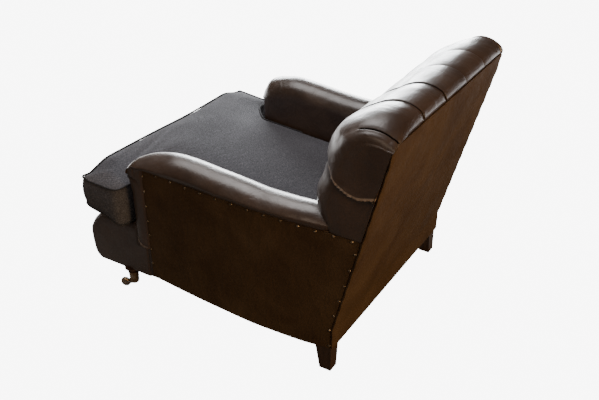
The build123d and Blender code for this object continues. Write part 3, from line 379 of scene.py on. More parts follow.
def makePleatedLeather(name, look, marks):
    material, tree, shader, where = makeLeather(name, look)

    def calc(operation, first, second=0.0):
        return mathNode(tree, operation, first, second)

    def mask(value, ends):
        return between(tree, value, *ends)

    x, y, z = addNode(tree, "SeparateXYZ", {0: where}).outputs
    # painted shade: dark lines along the pleats and the end seam, where the gloss is also taken away
    sideOut = calc("ABSOLUTE", x)
    nearPleat = mask(calc("PINGPONG", sideOut, marks["pitch"]), marks["pleatLine"])
    beforeEnd = calc("SUBTRACT", 1.0, mask(sideOut, marks["pastPleats"]))
    onPleats = calc("MULTIPLY", beforeEnd, mask(z, marks["pleatHeights"]))
    nearSeam = mask(calc("ABSOLUTE", calc("SUBTRACT", sideOut, marks["endSeam"])), marks["seamLine"])
    nearSeam = calc("MULTIPLY", nearSeam, mask(x, marks["pastPleats"]))
    alongSeam = calc("MULTIPLY", mask(y, marks["seamDepths"]), mask(z, marks["seamHeights"]))
    paintedLineShade = calc("ADD", calc("MULTIPLY", nearPleat, onPleats), calc("MULTIPLY", nearSeam, alongSeam))

    reached = calc("DIVIDE", calc("SUBTRACT", y, marks["foldFront"]), marks["foldReach"])
    foldLine = addNode(tree, "FloatCurve", {"Value": reached})
    curve = foldLine.mapping.curves[0]
    curve.points[0].location = marks["foldStartShares"]
    curve.points[1].location = marks["foldEndShares"]
    for reachShare, riseShare in marks["foldShares"]:
        curve.points.new(reachShare, riseShare)
    foldLine.mapping.update()
    foldHeight = calc("ADD", calc("MULTIPLY", foldLine.outputs[0], marks["foldRise"]), marks["foldLow"])
    overFold = calc("SUBTRACT", z, foldHeight)
    onEnds = mask(sideOut, marks["foldSides"])
    # a painted highlight along the fold's edge, and painted shade under the fold
    fromEdge = calc("ABSOLUTE", calc("SUBTRACT", overFold, marks["edgeHeight"]))
    foldHighlight = calc("MULTIPLY", mask(fromEdge, marks["edgeLine"]), onEnds)
    underFold = calc("MULTIPLY", mask(overFold, marks["shadeBelow"]), mask(overFold, marks["shadeTop"]))
    foldShade = calc("MULTIPLY", underFold, onEnds)

    # paint the shade under the fold, the highlight on its edge, then the shade of the pleat and seam lines
    colour = shader.inputs["Base Color"].links[0].from_socket
    colour = blendColour(tree, calc("MULTIPLY", foldShade, marks["shadeStrength"]), colour, marks["thread"])
    colour = blendColour(tree, calc("MULTIPLY", foldHighlight, marks["highlightStrength"]), colour, marks["highlightColour"])
    outsideLineShade = calc("SUBTRACT", 1.0, paintedLineShade)
    setInputs(tree, shader, {
        "Base Color": blendColour(tree, paintedLineShade, colour, marks["thread"]),
        "Specular IOR Level": calc("MULTIPLY", outsideLineShade, look["gloss"]),
        "Coat Weight": calc("MULTIPLY", outsideLineShade, look["coat"])})
    return material


backLeather = makePleatedLeather("pleatedLeather", leatherLook, backMarks)


def makeCloth(name, **look):
    material, tree, shader, where = startMaterial(name, roughness=0.92)
    perMetre = 2 * math.pi / look["thread"]
    threads = []
    for axis in addNode(tree, "SeparateXYZ", {0: where}).outputs:
        threads.append(mathNode(tree, "SINE", mathNode(tree, "MULTIPLY", axis, perMetre)))
    weave = mathNode(tree, "ADD", mathNode(tree, "MULTIPLY", threads[0], threads[1]), threads[2])
    flecks = noise(tree, where, look["fleck"], detail=3, distortion=0.2)
    broad = noise(tree, where, scale=5, detail=4, distortion=0.4)
    base = tones(tree, flecks, look, (0.3, 0.52, 0.72))
    wornTone = ramp(tree, broad, [(0.3, (0.8, 0.8, 0.8)), (0.7, (1.08, 1.08, 1.08))])
    setInputs(tree, shader, {
        "Base Color": blendColour(tree, 1.0, base, wornTone, "MULTIPLY"),
        "Normal": relief(tree, [(weave, 0.35, 0.0004), (flecks, 0.25, 0.0009), (broad, 0.3, 0.008)]),
        "Sheen Weight": look["sheen"], "Sheen Roughness": 0.5, "Specular IOR Level": 0.2})
    return material


seatCloth = makeCloth(
    "greyWovenCloth", thread=0.0024, fleck=260, sheen=0.08,
    tones=((0.044, 0.0432, 0.049), (0.075, 0.0738, 0.083), (0.127, 0.125, 0.14)))
pipingCloth = makeCloth(
    "blackPipingCloth", thread=0.0012, fleck=500, sheen=0.1,
    tones=((0.014, 0.0135, 0.015), (0.024, 0.023, 0.0255), (0.042, 0.041, 0.045)))
calico = makeCloth(
    "calicoStuffing", thread=0.0018, fleck=180, sheen=0.1,
    tones=((0.42, 0.38, 0.29), (0.52, 0.47, 0.37), (0.62, 0.57, 0.46)))
bandCloth = makeCloth(
    "juteWebbing", thread=0.003, fleck=140, sheen=0.05,
    tones=((0.13, 0.09, 0.045), (0.2, 0.14, 0.075), (0.3, 0.22, 0.13)))
dustCloth = makeCloth(
    "blackDustCloth", thread=0.0015, fleck=300, sheen=0.05,
    tones=((0.008, 0.008, 0.008), (0.014, 0.014, 0.014), (0.022, 0.022, 0.022)))


def makeWood(name, **look):
    material, tree, shader, where = startMaterial(name, look["roughness"])
    rings = noise(tree, where, scale=26, detail=6, distortion=0.8, stretch=look["along"])
    pores = noise(tree, where, scale=420, detail=2, stretch=look["along"])
    base = tones(tree, rings, look, (0.3, 0.6, 0.8))
    shade = ramp(tree, pores, [(0.36, (0.6, 0.58, 0.55)), (0.55, (1, 1, 1))])
    setInputs(tree, shader, {
        "Base Color": blendColour(tree, 0.8, base, shade, "MULTIPLY"),
        "Roughness": spread(tree, rings, look["roughness"] - 0.06, look["roughness"] + 0.1),
        "Normal": relief(tree, [(pores, 0.2, 0.0004), (rings, 0.15, 0.001)])})
    return material


legWood = makeWood(
    "darkPolishedWood", roughness=0.32, along=(3, 3, 0.25),
    tones=((0.034, 0.019, 0.0115), (0.062, 0.034, 0.02), (0.105, 0.06, 0.033)))
railWood = makeWood(
    "sawnBeech", roughness=0.7, along=(1, 0.2, 1),
    tones=((0.24, 0.14, 0.075), (0.36, 0.23, 0.13), (0.47, 0.32, 0.2)))


def makeMetal(name, **look):
    material, tree, shader, where = startMaterial(name, look["roughness"], metallic=1.0)
    stains = noise(tree, where, look["stain"], detail=5, distortion=0.8)
    scratches = noise(tree, where, scale=900, detail=2, stretch=(1, 1, 0.15))
    setInputs(tree, shader, {
        "Base Color": tones(tree, stains, look, (0.3, 0.55, 0.75)),
        "Roughness": spread(tree, stains, look["roughness"] + 0.15, look["roughness"] - 0.05),
        "Normal": relief(tree, [(scratches, 0.12, 0.0002), (stains, 0.15, 0.0005)])})
    return material


nailBrass = makeMetal(
    "agedNailBrass", roughness=0.34, stain=60,
    tones=((0.09, 0.065, 0.042), (0.24, 0.18, 0.12), (0.45, 0.37, 0.27)))
castorBrass = makeMetal(
    "castorBrass", roughness=0.3, stain=90,
    tones=((0.22, 0.13, 0.07), (0.52, 0.38, 0.24), (0.8, 0.7, 0.55)))
castorSteel = makeMetal(
    "castorSteel", roughness=0.38, stain=120,
    tones=((0.2, 0.15, 0.11), (0.42, 0.37, 0.31), (0.66, 0.62, 0.57)))
springSteel = makeMetal(
    "springSteel", roughness=0.4, stain=200,
    tones=((0.12, 0.12, 0.12), (0.3, 0.3, 0.3), (0.5, 0.5, 0.5)))
print("materials made")

# every CAD node gets its finish here, by the words in its name; the last word that fits wins
keptFinish = {
    "rail": railWood, "corner_blocks": railWood, "post": railWood, "leg": legWood, "nails": nailBrass,
    "castor_cup": castorBrass, "castor_wheel": castorBrass, "castor_horn": castorSteel,
    "castor_axle": castorSteel, "spring": springSteel, "webbing": bandCloth, "base_cloth": dustCloth,
    "cover": leather, "outer": panelLeather, "buttons": leather, "stuffing": calico, "deck": calico,
    "cushion": seatCloth, "piping": pipingCloth,
}
for nodeName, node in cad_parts.items():
    for word, finish in keptFinish.items():
        if word in nodeName:
            node.data.materials.clear()
            node.data.materials.append(finish)


# arms: rings across the arm from the rounded front to the back

arm = dict(
    # y, inner face, outermost roll, roll top, foot, outer face
    rings=[
        (-361, 374, 382, 446, 258, 379), (-358.5, 366, 390, 468, 244, 386),
        (-353, 355, 398.5, 492, 231, 392), (-342, 339, 405, 511, 219, 396.5),
        (-328, 320, 408, 525, 212, 397.5), (-313, 303, 409, 536, 209, 396.5),
        (-298, 291, 409, 543, 208, 394.5), (-270, 286, 409.5, 553, 206, 391), (-239, 286, 410, 561, 202, 391),
        (-160, 286, 410, 571, 202, 391), (-90, 286, 410, 569, 202, 391), (-4, 286, 410, 561, 202, 391),
        (80, 286, 410, 553, 202, 391), (166, 286, 409.5, 548, 202, 391), (250, 286, 408, 548, 202, 391),
        (295, 286, 405, 549, 202, 391), (325, 286, 401, 547, 202, 391), (350, 286, 396, 543, 202, 390),
        (372, 286, 390, 538, 202, 385), (392, 286, 380, 530, 202, 376)],
    counts=(16, 34, 14, 64, 6), along=110,  # points on each stretch of a ring, and how many rings
    front=-361, rear=392, roundedLength=76, roundedShare=0.42, crowding=1.6, footCrowding=1.5,
    # the full roll, and how flat it may get
    fullWidth=124, fullHeight=65, flattest=0.4,
    lean=8, shoulderDrop=62, cheekDrop=42, crownShare=0.55, edgeDrop=8, turnShare=0.25,
    panelSeat=5, panelFades=(-300, -290), edgeTuck=1.5,
    # the side panel's nails follow this crease: y, height
    crease=[(-298, 507), (-150, 501), (0, 495), (150, 492), (300, 493.5), (475, 497)])
scroll = dict(
    # where the leather is gathered on the scroll
    gathers=9, gatherDepth=3.2, gatherFades=(-345, -285), gatherSharpness=3,
    # the front is a pad with a ledge across it, an edge beside the side panel and a rolled foot
    outerFrom=345, padFades=(-300, -318),
    ledgeHeight=468, ledgeAt=-340, ledgeSlope=0.25, ledge=((-5.5, 0, 4), (1.6, 12, 10)),
    edgeAt=-318, edgeHeight=520, edgeSlope=0.15, edgeFades=(485, 500),
    edge=((-2.6, 0, 2.6), (1.5, -6, 5)),
    footFades=(-300, -306), foot=((3.2, 3.5, 3), (-1.6, 11, 5)),
    lowSetback=13, lowHeights=(485, 405), lowDepths=(-290, -350),
    seatHollow=(0.8, 37), topFades=(500, 540), rollWaver=(0.5, 23, 60))
farArm = dict(
    riseAt=-250, riseWidth=170, rise=11, rearRise=4, rearFades=(0, 200),
    topFades=(500, 545), setback=17, setbackFades=(-255, -345))


def creaseAt(y):
    return smoothTable(arm["crease"], y)[0]


def armRing(y):
    inner, reach, top, foot, face = smoothTable(arm["rings"], y)
    counts = arm["counts"]
    scale = (reach - inner) / arm["fullWidth"]
    full = clamp((top - creaseAt(y)) / arm["fullHeight"], arm["flattest"])
    shoulder = (inner + arm["lean"] * scale, top - arm["shoulderDrop"] * scale)
    crown = (shoulder[0] + (reach - shoulder[0]) * arm["crownShare"], top)
    cheek = (reach, top - arm["cheekDrop"] * scale * full)
    edge = (face, min(creaseAt(y), cheek[1] - arm["edgeDrop"] * scale))
    turn = (reach - (reach - face) * arm["turnShare"], (cheek[1] + edge[1]) / 2)
    low = face - arm["panelSeat"] * fade(*arm["panelFades"], y)
    ring = linePoints((inner, foot), shoulder, counts[0])
    ring += arcPoints(shoulder, crown, cheek, counts[1])
    ring += arcPoints(cheek, turn, edge, counts[2])
    under = edge[1] - arm["edgeTuck"]
    for step in range(counts[3]):  # closer points towards the rounded foot
        share = 1 - (1 - step / counts[3]) ** arm["footCrowding"]
        ring.append((low, under + (foot - under) * share))
    ring += linePoints((low, foot), (inner, foot), counts[4])
    return ring + ring[:1]


armAcross = sum(arm["counts"])
armRings = {}


def armPoint(u, v):
    roundedShare = arm["roundedShare"]
    straightFrom = arm["front"] + arm["roundedLength"]
    if v < roundedShare:  # closer rings at the rounded front
        y = arm["front"] + arm["roundedLength"] * (v / roundedShare) ** arm["crowding"]
    else:
        y = straightFrom + (arm["rear"] - straightFrom) * (v - roundedShare) / (1 - roundedShare)
    key = round(v, 5)
    if key not in armRings:
        armRings[key] = armRing(y)
    i = round(u * armAcross)
    x, z = armRings[key][i]
    around = (i - arm["counts"][0]) / arm["counts"][1]
    if 0 < around < 1:
        strength = scroll["gatherDepth"] * (1 - fade(*scroll["gatherFades"], y)) * math.sin(math.pi * around)
        z -= strength * wave(around, 1 / scroll["gathers"]) ** scroll["gatherSharpness"]
    if x > scroll["outerFrom"]:
        overLedge = z - scroll["ledgeHeight"] + scroll["ledgeSlope"] * (y - scroll["ledgeAt"])
        x += ridges(scroll["ledge"], overLedge) * fade(*scroll["padFades"], y)
        pastEdge = y - scroll["edgeAt"] - scroll["edgeSlope"] * (z - scroll["edgeHeight"])
        x += ridges(scroll["edge"], pastEdge) * fade(*scroll["edgeFades"], z)
        overFoot = z - smoothTable(arm["rings"], y)[3]
        x += ridges(scroll["foot"], overFoot) * fade(*scroll["footFades"], y)
    y += scroll["lowSetback"] * fade(*scroll["lowHeights"], z) * fade(*scroll["lowDepths"], y)
    # the seat side of the arm is a little hollow, the roll a little uneven
    depth, length = scroll["seatHollow"]
    z += depth * math.sin(y / length) * fade(*scroll["topFades"], z)
    depth, length, height = scroll["rollWaver"]
    x += depth * math.sin(y / length + z / height)
    return x, y, z


leftArm = shapedGrid("leftArm", armAcross, arm["along"], armPoint, 60)
rightArm = mirroredCopy(leftArm, "rightArm")
for vert in rightArm.data.vertices:  # this arm sits a little higher in front
    y, z = vert.co.y / mm, vert.co.z / mm
    rise = farArm["rise"] * bump(y - farArm["riseAt"], farArm["riseWidth"])
    rise += farArm["rearRise"] * fade(*farArm["rearFades"], y)
    vert.co.z += rise * fade(*farArm["topFades"], z) * mm
    vert.co.y += farArm["setback"] * fade(*farArm["setbackFades"], y) * mm
dress(leftArm, leather, "leather", "chair", "left_arm_cover", "left_arm_stuffing")
dress(rightArm, leather, "leather", "chair", "right_arm_cover", "right_arm_stuffing")
print("arms done")


# back: sections from front to rear, across the chair

back = dict(
    half=391, pitch=73.5, rearY=565, rearZ=805, rearLow=160, rake=14.5, coverInset=6,
    # corners of a section: y, z
    low=(290, 216), tuft=(315, 640), shoulder=(418, 831), crown=(494, 852), heel=(550, 834),
    edge=(564, 805),
    # across: how far the front is set back and the top falls
    falls=[(285, 0, 0), (308, 3, 2), (330, 9, 7), (345, 15, 12), (358, 23, 19), (367, 30, 27),
           (370, 33, 28.5), (376, 40, 30), (383, 49, 35), (388, 59, 43), (391, 72, 54)],
    farEnd=0.14, sag=5, sagHalf=340, sagAt=60, sagWidth=100,
    # how far the corners move where the top sags or falls by 1
    sagForward=0.3, crownSag=0.25, shoulderFall=0.8, heelForward=0.25, heelFall=0.8, edgeFall=0.35,
    # bends between the corners, as shares of the way along and of the way up
    liftShares=(0.225, 0.6125), middleShares=(0.45, 0.7), outerShares=(0.55, 0.28), turnShares=(0.7, 0.45),
    counts=(84, 34, 22, 12, 6, 20, 6), along=400,
    # sections are even up to evenShare, closer up to faceShare, then they lie on the end face
    evenShare=0.6, evenHalf=330, faceShare=0.84,
    faceLow=240, faceHigh=780, faceInset=7, faceStep=20, faceSwell=3, faceSwellShare=0.35,
    faceSides=(280, 345), faceEase=20, plainAt=345,
    # where the front of the back lies close to its ends: height, y
    endFace=[(216, 352), (440, 352), (485, 341), (520, 328), (545, 320), (575, 315), (600, 317), (633, 329),
             (662, 342), (680, 346), (707, 348), (729, 353), (754, 362), (775, 374), (790, 388)],
    # under the side panels the back is no wider than this
    underPanel=384.5, overPanel=20, panelTop=(488, 512))
folds = dict(
    channelDepth=2.5, channelFades=(560, 660), channelEnds=(0.75, 1),
    pleatDepth=4.2, pleatFade=14, pleatEdge=1.5, pleatHeights=(630, 660), pleatEnds=(0.985, 1),
    endSeam=((3.5, 368, 1.8), (-2.6, 373.5, 3)), endSeamHeights=(800, 812), endSeamDepths=(440, 455),
    # height of each row of buttons, and their places in steps of the pitch
    rows=((640, (-3, -1, 1, 3)), (552, (-2, 0, 2)), (464, (-3, -1, 1, 3))),
    sideFold=((285, 658), (350, 692)), lowFold=(300, 380),
    tuftTop=740, tuftDepth=11, tuftWidth=26, foldDepth=5, foldWidth=8, foldEnds=(300, 345),
    pillow=5, pillowWidth=40, pillowLow=(400, 470), pillowHigh=(600, 660), pillowEnds=(300, 370),
    # the long fold round each end: how far back, how high
    endFold=[(340, 700), (352, 688), (366, 677), (382, 665), (400, 651), (420, 640), (445, 630), (470, 628),
             (500, 635), (530, 645)],
    endFoldGroove=(2, -8, 6), endFoldSides=(330, 350),
    swellOver=5.5, swellOverHeight=34, swellLip=(2, 3, 4), swellUnder=5, swellUnderHeight=22,
    swellFades=(-2, 3), swellSides=(372, 390), swellHeights=(500, 540),
    endCrease=(760, 400, 0.3), endCreaseDepth=0.8, endCreaseWidth=9, endCreaseSides=(385, 391),
    calmSides=(380, 391), calmShare=0.8)
pitch = back["pitch"]
pleatSeams = [step * pitch for step in (-3, -1, 1, 3)]
buttonPlaces = [(step * pitch, height) for height, steps in folds["rows"] for step in steps]
topRow, middleRow, lowRow = (height for height, _ in folds["rows"])
diamonds = []
for step in (-2, 0, 2):
    for beside in (-1, 1):
        for row in (topRow, lowRow):
            diamonds.append(((step * pitch, middleRow), ((step + beside) * pitch, row)))
for side in (-1, 1):
    foldTurn, foldTop = ((side * x, z) for x, z in folds["sideFold"])
    diamonds.append(((side * 3 * pitch, topRow), foldTurn))
    diamonds.append((foldTurn, foldTop))
    diamonds.append(((side * 3 * pitch, lowRow), (side * folds["lowFold"][0], folds["lowFold"][1])))


def rearFace(z):
    down = back["rearZ"] - max(z, back["rearLow"])
    return back["rearY"] - down * math.tan(math.radians(back["rake"]))


def segmentDistance(px, pz, a, b):
    dx, dz = b[0] - a[0], b[1] - a[1]
    t = clamp(((px - a[0]) * dx + (pz - a[1]) * dz) / (dx * dx + dz * dz))
    return math.hypot(px - a[0] - t * dx, pz - a[1] - t * dz)


# above the fold the leather swells out over it, below it is drawn in
def foldSwell(y, z):
    above = z - smoothTable(folds["endFold"], y)[0]
    if above > 0:
        swell = folds["swellOver"] * bump(above, folds["swellOverHeight"])
        return (swell + ridges([folds["swellLip"]], above)) * fade(*folds["swellFades"], above)
    return -folds["swellUnder"] * bump(above, folds["swellUnderHeight"])


# a point on the way between two corners of a section, with its own shares of the two directions
def bend(start, end, shares):
    return start[0] + (end[0] - start[0]) * shares[0], start[1] + (end[1] - start[1]) * shares[1]


def backRing(x):
    counts = back["counts"]
    front, top = smoothTable(back["falls"], abs(x))
    hang = max(1 - (x / back["sagHalf"]) ** 2, 0) + bump(x - back["sagAt"], back["sagWidth"])
    sag = back["sag"] * hang
    lowY, lowZ = back["low"]
    low = (lowY + front, lowZ)
    tuft = (back["tuft"][0] + front, back["tuft"][1])
    shoulderY, shoulderZ = back["shoulder"]
    shoulderZ -= top * back["shoulderFall"] + sag
    shoulder = (shoulderY + front / 2 + sag * back["sagForward"], shoulderZ)
    top *= 1 if x > 0 else back["farEnd"]
    crown = (back["crown"][0], back["crown"][1] - top - sag * back["crownSag"])
    heel = (back["heel"][0] - top * back["heelForward"], back["heel"][1] - top * back["heelFall"])
    edge = (back["edge"][0], back["edge"][1] - top * back["edgeFall"])
    ring = linePoints(low, tuft, counts[0])
    ring += arcPoints(tuft, bend(tuft, shoulder, back["liftShares"]), shoulder, counts[1])
    ring += arcPoints(shoulder, bend(shoulder, crown, back["middleShares"]), crown, counts[2])
    ring += arcPoints(crown, bend(crown, heel, back["outerShares"]), heel, counts[3])
    ring += arcPoints(heel, bend(heel, edge, back["turnShares"]), edge, counts[4])
    upper = (rearFace(edge[1]) - back["coverInset"], edge[1])
    lower = (rearFace(lowZ) - back["coverInset"], lowZ)
    ring += linePoints(upper, lower, counts[5])
    ring += linePoints(lower, low, counts[6])
    return ring + ring[:1]


backAcross = sum(back["counts"])
backFront = sum(back["counts"][:5])
backRings = {}
# the front of a plain section, from which the end face is measured: height, y
plainSection = [(z, y) for y, z in backRing(back["plainAt"])[:sum(back["counts"][:2])]]


# how far the leather is drawn into the stuffing; run: share of the way from the seat to the rear edge
def backDepth(x, y, z, run):
    out = abs(x)
    fromSeam = min(abs(x - seam) for seam in pleatSeams)
    overRoll = fade(*folds["channelFades"], z) * (1 - fade(*folds["channelEnds"], run))
    depth = folds["channelDepth"] * (1 - min(fromSeam / pitch, 1)) ** 2 * overRoll
    pleat = folds["pleatDepth"] * fade(*folds["pleatHeights"], z) * (1 - fade(*folds["pleatEnds"], run))
    for seam in (pitch, 3 * pitch):  # each pleat is a step whose open side looks outwards
        past = out - seam
        if past > -folds["pleatEdge"]:
            step = fade(-folds["pleatEdge"], folds["pleatEdge"], past)
            depth += pleat * step * math.exp(-max(past, 0) / folds["pleatFade"])
    alongSeam = fade(*folds["endSeamHeights"], z) * fade(*folds["endSeamDepths"], y)
    depth += ridges(folds["endSeam"], out) * alongSeam
    if z < folds["tuftTop"]:
        fromButton = min(math.hypot(x - bx, z - bz) for bx, bz in buttonPlaces)
        depth += folds["tuftDepth"] * bump(fromButton, folds["tuftWidth"])
        fromFold = min(segmentDistance(x, z, a, b) for a, b in diamonds)
        depth += folds["foldDepth"] * bump(fromFold, folds["foldWidth"]) * (1 - fade(*folds["foldEnds"], out))
        pillow = fade(*folds["pillowLow"], z) * (1 - fade(*folds["pillowHigh"], z))
        pillow *= (1 - bump(fromFold, folds["pillowWidth"])) * (1 - fade(*folds["pillowEnds"], out))
        depth -= folds["pillow"] * pillow
        overFold = z - smoothTable(folds["endFold"], y)[0]
        depth += ridges([folds["endFoldGroove"]], overFold) * fade(*folds["endFoldSides"], out)
    return depth * (1 - fade(*folds["calmSides"], out) * folds["calmShare"])


def backPoint(u, v):
    s = (v - 0.5) * 2
    side, s = (1, s) if s > 0 else (-1, -s)
    evenShare, faceShare = back["evenShare"], back["faceShare"]
    inward = max(s - faceShare, 0) / (1 - faceShare)
    if s < evenShare:
        across = s / evenShare * back["evenHalf"]
    else:
        closer = (min(s, faceShare) - evenShare) / (faceShare - evenShare)
        across = back["evenHalf"] + closer * (back["half"] - back["evenHalf"])
    x = side * across
    key = round(v, 5)
    if key not in backRings:
        backRings[key] = backRing(x)
    ring = backRings[key]
    i = round(u * backAcross)
    y, z = ring[i]
    if i <= backFront:
        before, after = ring[max(i - 1, 0)], ring[i + 1]
        dy, dz = after[0] - before[0], after[1] - before[1]
        size = math.hypot(dy, dz) or 1
        depth = backDepth(x, y, z, i / backFront)
        faceTop = back["endFace"][-1][0]
        if z < faceTop and i < backFront:
            shift = smoothTable(back["endFace"], z)[0] - lineTable(plainSection, z)
            y += shift * fade(*back["faceSides"], abs(x)) * fade(faceTop, faceTop - back["faceEase"], z)
        y += dz / size * depth
        z -= dy / size * depth
    if inward:  # the rings of the end face close along its rear edge
        level = round(z / back["faceStep"]) * back["faceStep"] if inward > 0.99 else z
        level = clamp(level, back["faceLow"], back["faceHigh"])
        y += (rearFace(level) - back["faceInset"] - y) * inward
        z += (level - z) * inward
        across += back["faceSwell"] * fade(0, back["faceSwellShare"], inward)
    # the end swells over its fold, and lies under the side panel further down
    across += foldSwell(y, z) * fade(*folds["swellSides"], across) * fade(*folds["swellHeights"], z)
    creaseZ, creaseY, creaseSlope = folds["endCrease"]
    overCrease = z - (creaseZ - creaseSlope * (y - creaseY))
    crease = folds["endCreaseDepth"] * bump(overCrease, folds["endCreaseWidth"])
    across -= crease * fade(*folds["endCreaseSides"], across)
    across = min(across, back["underPanel"] + back["overPanel"] * fade(*back["panelTop"], z))
    return side * across, y, z


innerBack = shapedGrid("innerBack", backAcross, back["along"], backPoint, 60)
dress(innerBack, backLeather, "leather", "chair", "back_cover", "back_stuffing")
print("inner back done")


# outer sides: leather stretched from the crease to the bottom edge

sides = dict(
    grid=(170, 90), half=391, front=-298, rearInset=6, rearHeights=(92, 497), bulge=14, topBulge=2,
    bulgeHeights=(80, 507), wall=4, edgeDrop=3, edgeRadius=4, edgeLift=6,
    # tension between the nails
    pull=1.4, pullWidth=9, nailY=-292, nailZ=483, nailDown=6, nailPitch=57.7, columnPitch=55,
    waver=0.7, waverHeight=31, waverLength=90,
    bottom=[(-298, 101), (-216, 98), (-105, 93), (21, 87), (138, 81), (288, 82), (375, 88)])


def sidePoint(u, v):
    rearLow, rearHigh = sides["rearHeights"]
    yEnd = rearFace(rearLow + (rearHigh - rearLow) * v) - sides["rearInset"]
    y = sides["front"] + (yEnd - sides["front"]) * u
    low = smoothTable(sides["bottom"], y)[0]
    high = creaseAt(y)
    z = low + (high - low) * v
    bulgeLow, bulgeHigh = sides["bulgeHeights"]
    upShare = (z - bulgeLow) / (bulgeHigh - bulgeLow)
    bulge = sides["bulge"] + (sides["topBulge"] - sides["bulge"]) * upShare
    middle = 4 * u * (1 - u)
    x = sides["half"] + bulge * middle
    fromEdge = min(y - sides["front"], yEnd - y, z - low + sides["edgeLift"])
    x -= sides["edgeDrop"] * (1 - rounding(fromEdge, sides["edgeRadius"]))
    pull, width = sides["pull"], sides["pullWidth"]
    x -= pull * bump(high - z - sides["nailDown"], width) * wave(y - sides["nailY"], sides["nailPitch"])
    x -= pull * bump(y - sides["nailY"], width) * wave(z - sides["nailZ"], sides["columnPitch"])
    x += sides["waver"] * math.sin(z / sides["waverHeight"] + y / sides["waverLength"]) * middle / 2
    return x, y, z


leftSide = shapedGrid("leftOuterSide", *sides["grid"], sidePoint, 60, sides["wall"])
rightSide = mirroredCopy(leftSide, "rightOuterSide")
dress(leftSide, panelLeather, "leather", "chair", "left_outer_side")
dress(rightSide, panelLeather, "leather", "chair", "right_outer_side")


# outer back

outer = dict(
    grid=(110, 100), half=394, bottom=92, top=803, topEdge=804, wall=4.5, out=4, cornerRadius=20,
    cornerFrom=371, topIn=4, topFades=(740, 800), edgeDrop=3, edgeRadius=5,
    waver=0.9, waverWidth=67, waverHeight=140, waverFades=(0, 60),
    pull=1.6, nailIn=4, pullWidth=8, nailPitch=55)


def outerBackPoint(u, v):
    half, bottom = outer["half"], outer["bottom"]
    x = (u - 0.5) * 2 * half
    intoCorner = max((abs(x) - outer["cornerFrom"]) / outer["cornerRadius"], 0)
    topCorner = outer["cornerRadius"] * (1 - math.sqrt(max(1 - intoCorner ** 2, 0)))
    z = bottom + (outer["top"] - bottom - topCorner) * v
    fromEdge = max(min(half - abs(x), z - bottom, outer["topEdge"] - z), 0)
    y = rearFace(z) + outer["out"] - outer["topIn"] * fade(*outer["topFades"], z)
    y -= outer["edgeDrop"] * (1 - rounding(fromEdge, outer["edgeRadius"]))
    ripple = math.sin(x / outer["waverWidth"] + z / outer["waverHeight"])
    y -= outer["waver"] * ripple * fade(*outer["waverFades"], fromEdge)
    fromNail = half - abs(x) - outer["nailIn"]
    y -= outer["pull"] * bump(fromNail, outer["pullWidth"]) * wave(z, outer["nailPitch"])
    return x, y, z


outerBack = shapedGrid("outerBack", *outer["grid"], outerBackPoint, 60, outer["wall"], 1)
dress(outerBack, panelLeather, "leather", "chair", "outer_back")
print("outer sides and back done")


# size and slope of the cushion, which the border and the deck follow

pad = dict(
    front=-508, slope=4.9, height=124, under=296, crown=34, shoulder=190,
    # the lower seam rises towards the free front corners: y, height
    sideLifts=[(-512, 56), (-495, 42), (-448, 33), (-418, 25), (-385, 9), (-365, 3), (-343, 0), (-300, 0)],
    frontLift=6, frontFades=(-440, -490), sideFades=(250, 430),
    topLift=17, middleLift=23, middleTilt=5, tiltWidth=120, middleDepths=(-430, -500),
    middleSides=(441, 310), cornerLift=8, cornerSides=(400, 436), cornerDepths=(-478, -505),
    farDrop=9, farFades=(-330, -425),
    # one half of the seams: x, y, radius of the corner
    seamHalf=[(281, 286, 22), (279, -285, 14), (300, -318, 14), (345, -360, 16), (372, -369, 10),
              (433, -372, 26), (441, -510, 7)],
    frontMiddle=(0, -500, 200), farNotch=11, seamCount=360, voxel=0.006, seamBand=3.5,
    swell=5.5, swellFades=(-368, -380), frontSwell=(-480, -500), sideSwell=(400, 425), tuckIn=3,
    tuckSides=(240, 270), tuckRear=(240, 280), notchDepths=(-400, -300), underEase=60,
    heldBand=8, pressure=4, frames=18, cacheFrames=22, cap=14, sideCap=0.003)
slope = math.tan(math.radians(pad["slope"]))


def seatLevel(y):
    return pad["under"] - (y - pad["front"]) * slope


# front border, swept round both corners and run inwards under the cushion

border = dict(
    grid=(65, 300), cornerRadius=22, front=-573, half=392, end=-298, bottom=92, top=289, wall=8,
    # how far the front and the sides are set back: height, distance
    frontInsets=[(92, 25), (100, 15), (107, 10), (120, 5), (138, 3), (160, 1), (187, 0), (208, 3), (233, 17),
                  (250, 28), (265, 42), (280, 62), (289, 80)],
    sideInsets=[(92, 1), (100, 0.3), (112, 0), (230, 0), (250, 0.5), (267, 3), (280, 10), (289, 26)],
    riseShare=0.8, frontRun=52, sideRun=73, sideRunFades=(-355, -368), underSeat=9,
    dropShare=0.4, topDip=3, dipRise=(0.6, 1), dipLength=55, slack=0.8, slackLength=41,
    pleatDepth=2.2, pleatHalfWidth=0.8, pleats=7, pleatSharpness=4, pleatRise=(0.5, 0.8),
    # the ends are tucked under the side panels and the arms
    panelTuck=5, panelFades=(-311, -306), armTuck=4, armFades=(-354, -345), armHeights=(205, 212))
borderStraight = border["half"] - border["cornerRadius"]
borderTurn = border["cornerRadius"] * math.pi / 2
borderSide = border["end"] - border["front"] - border["cornerRadius"]


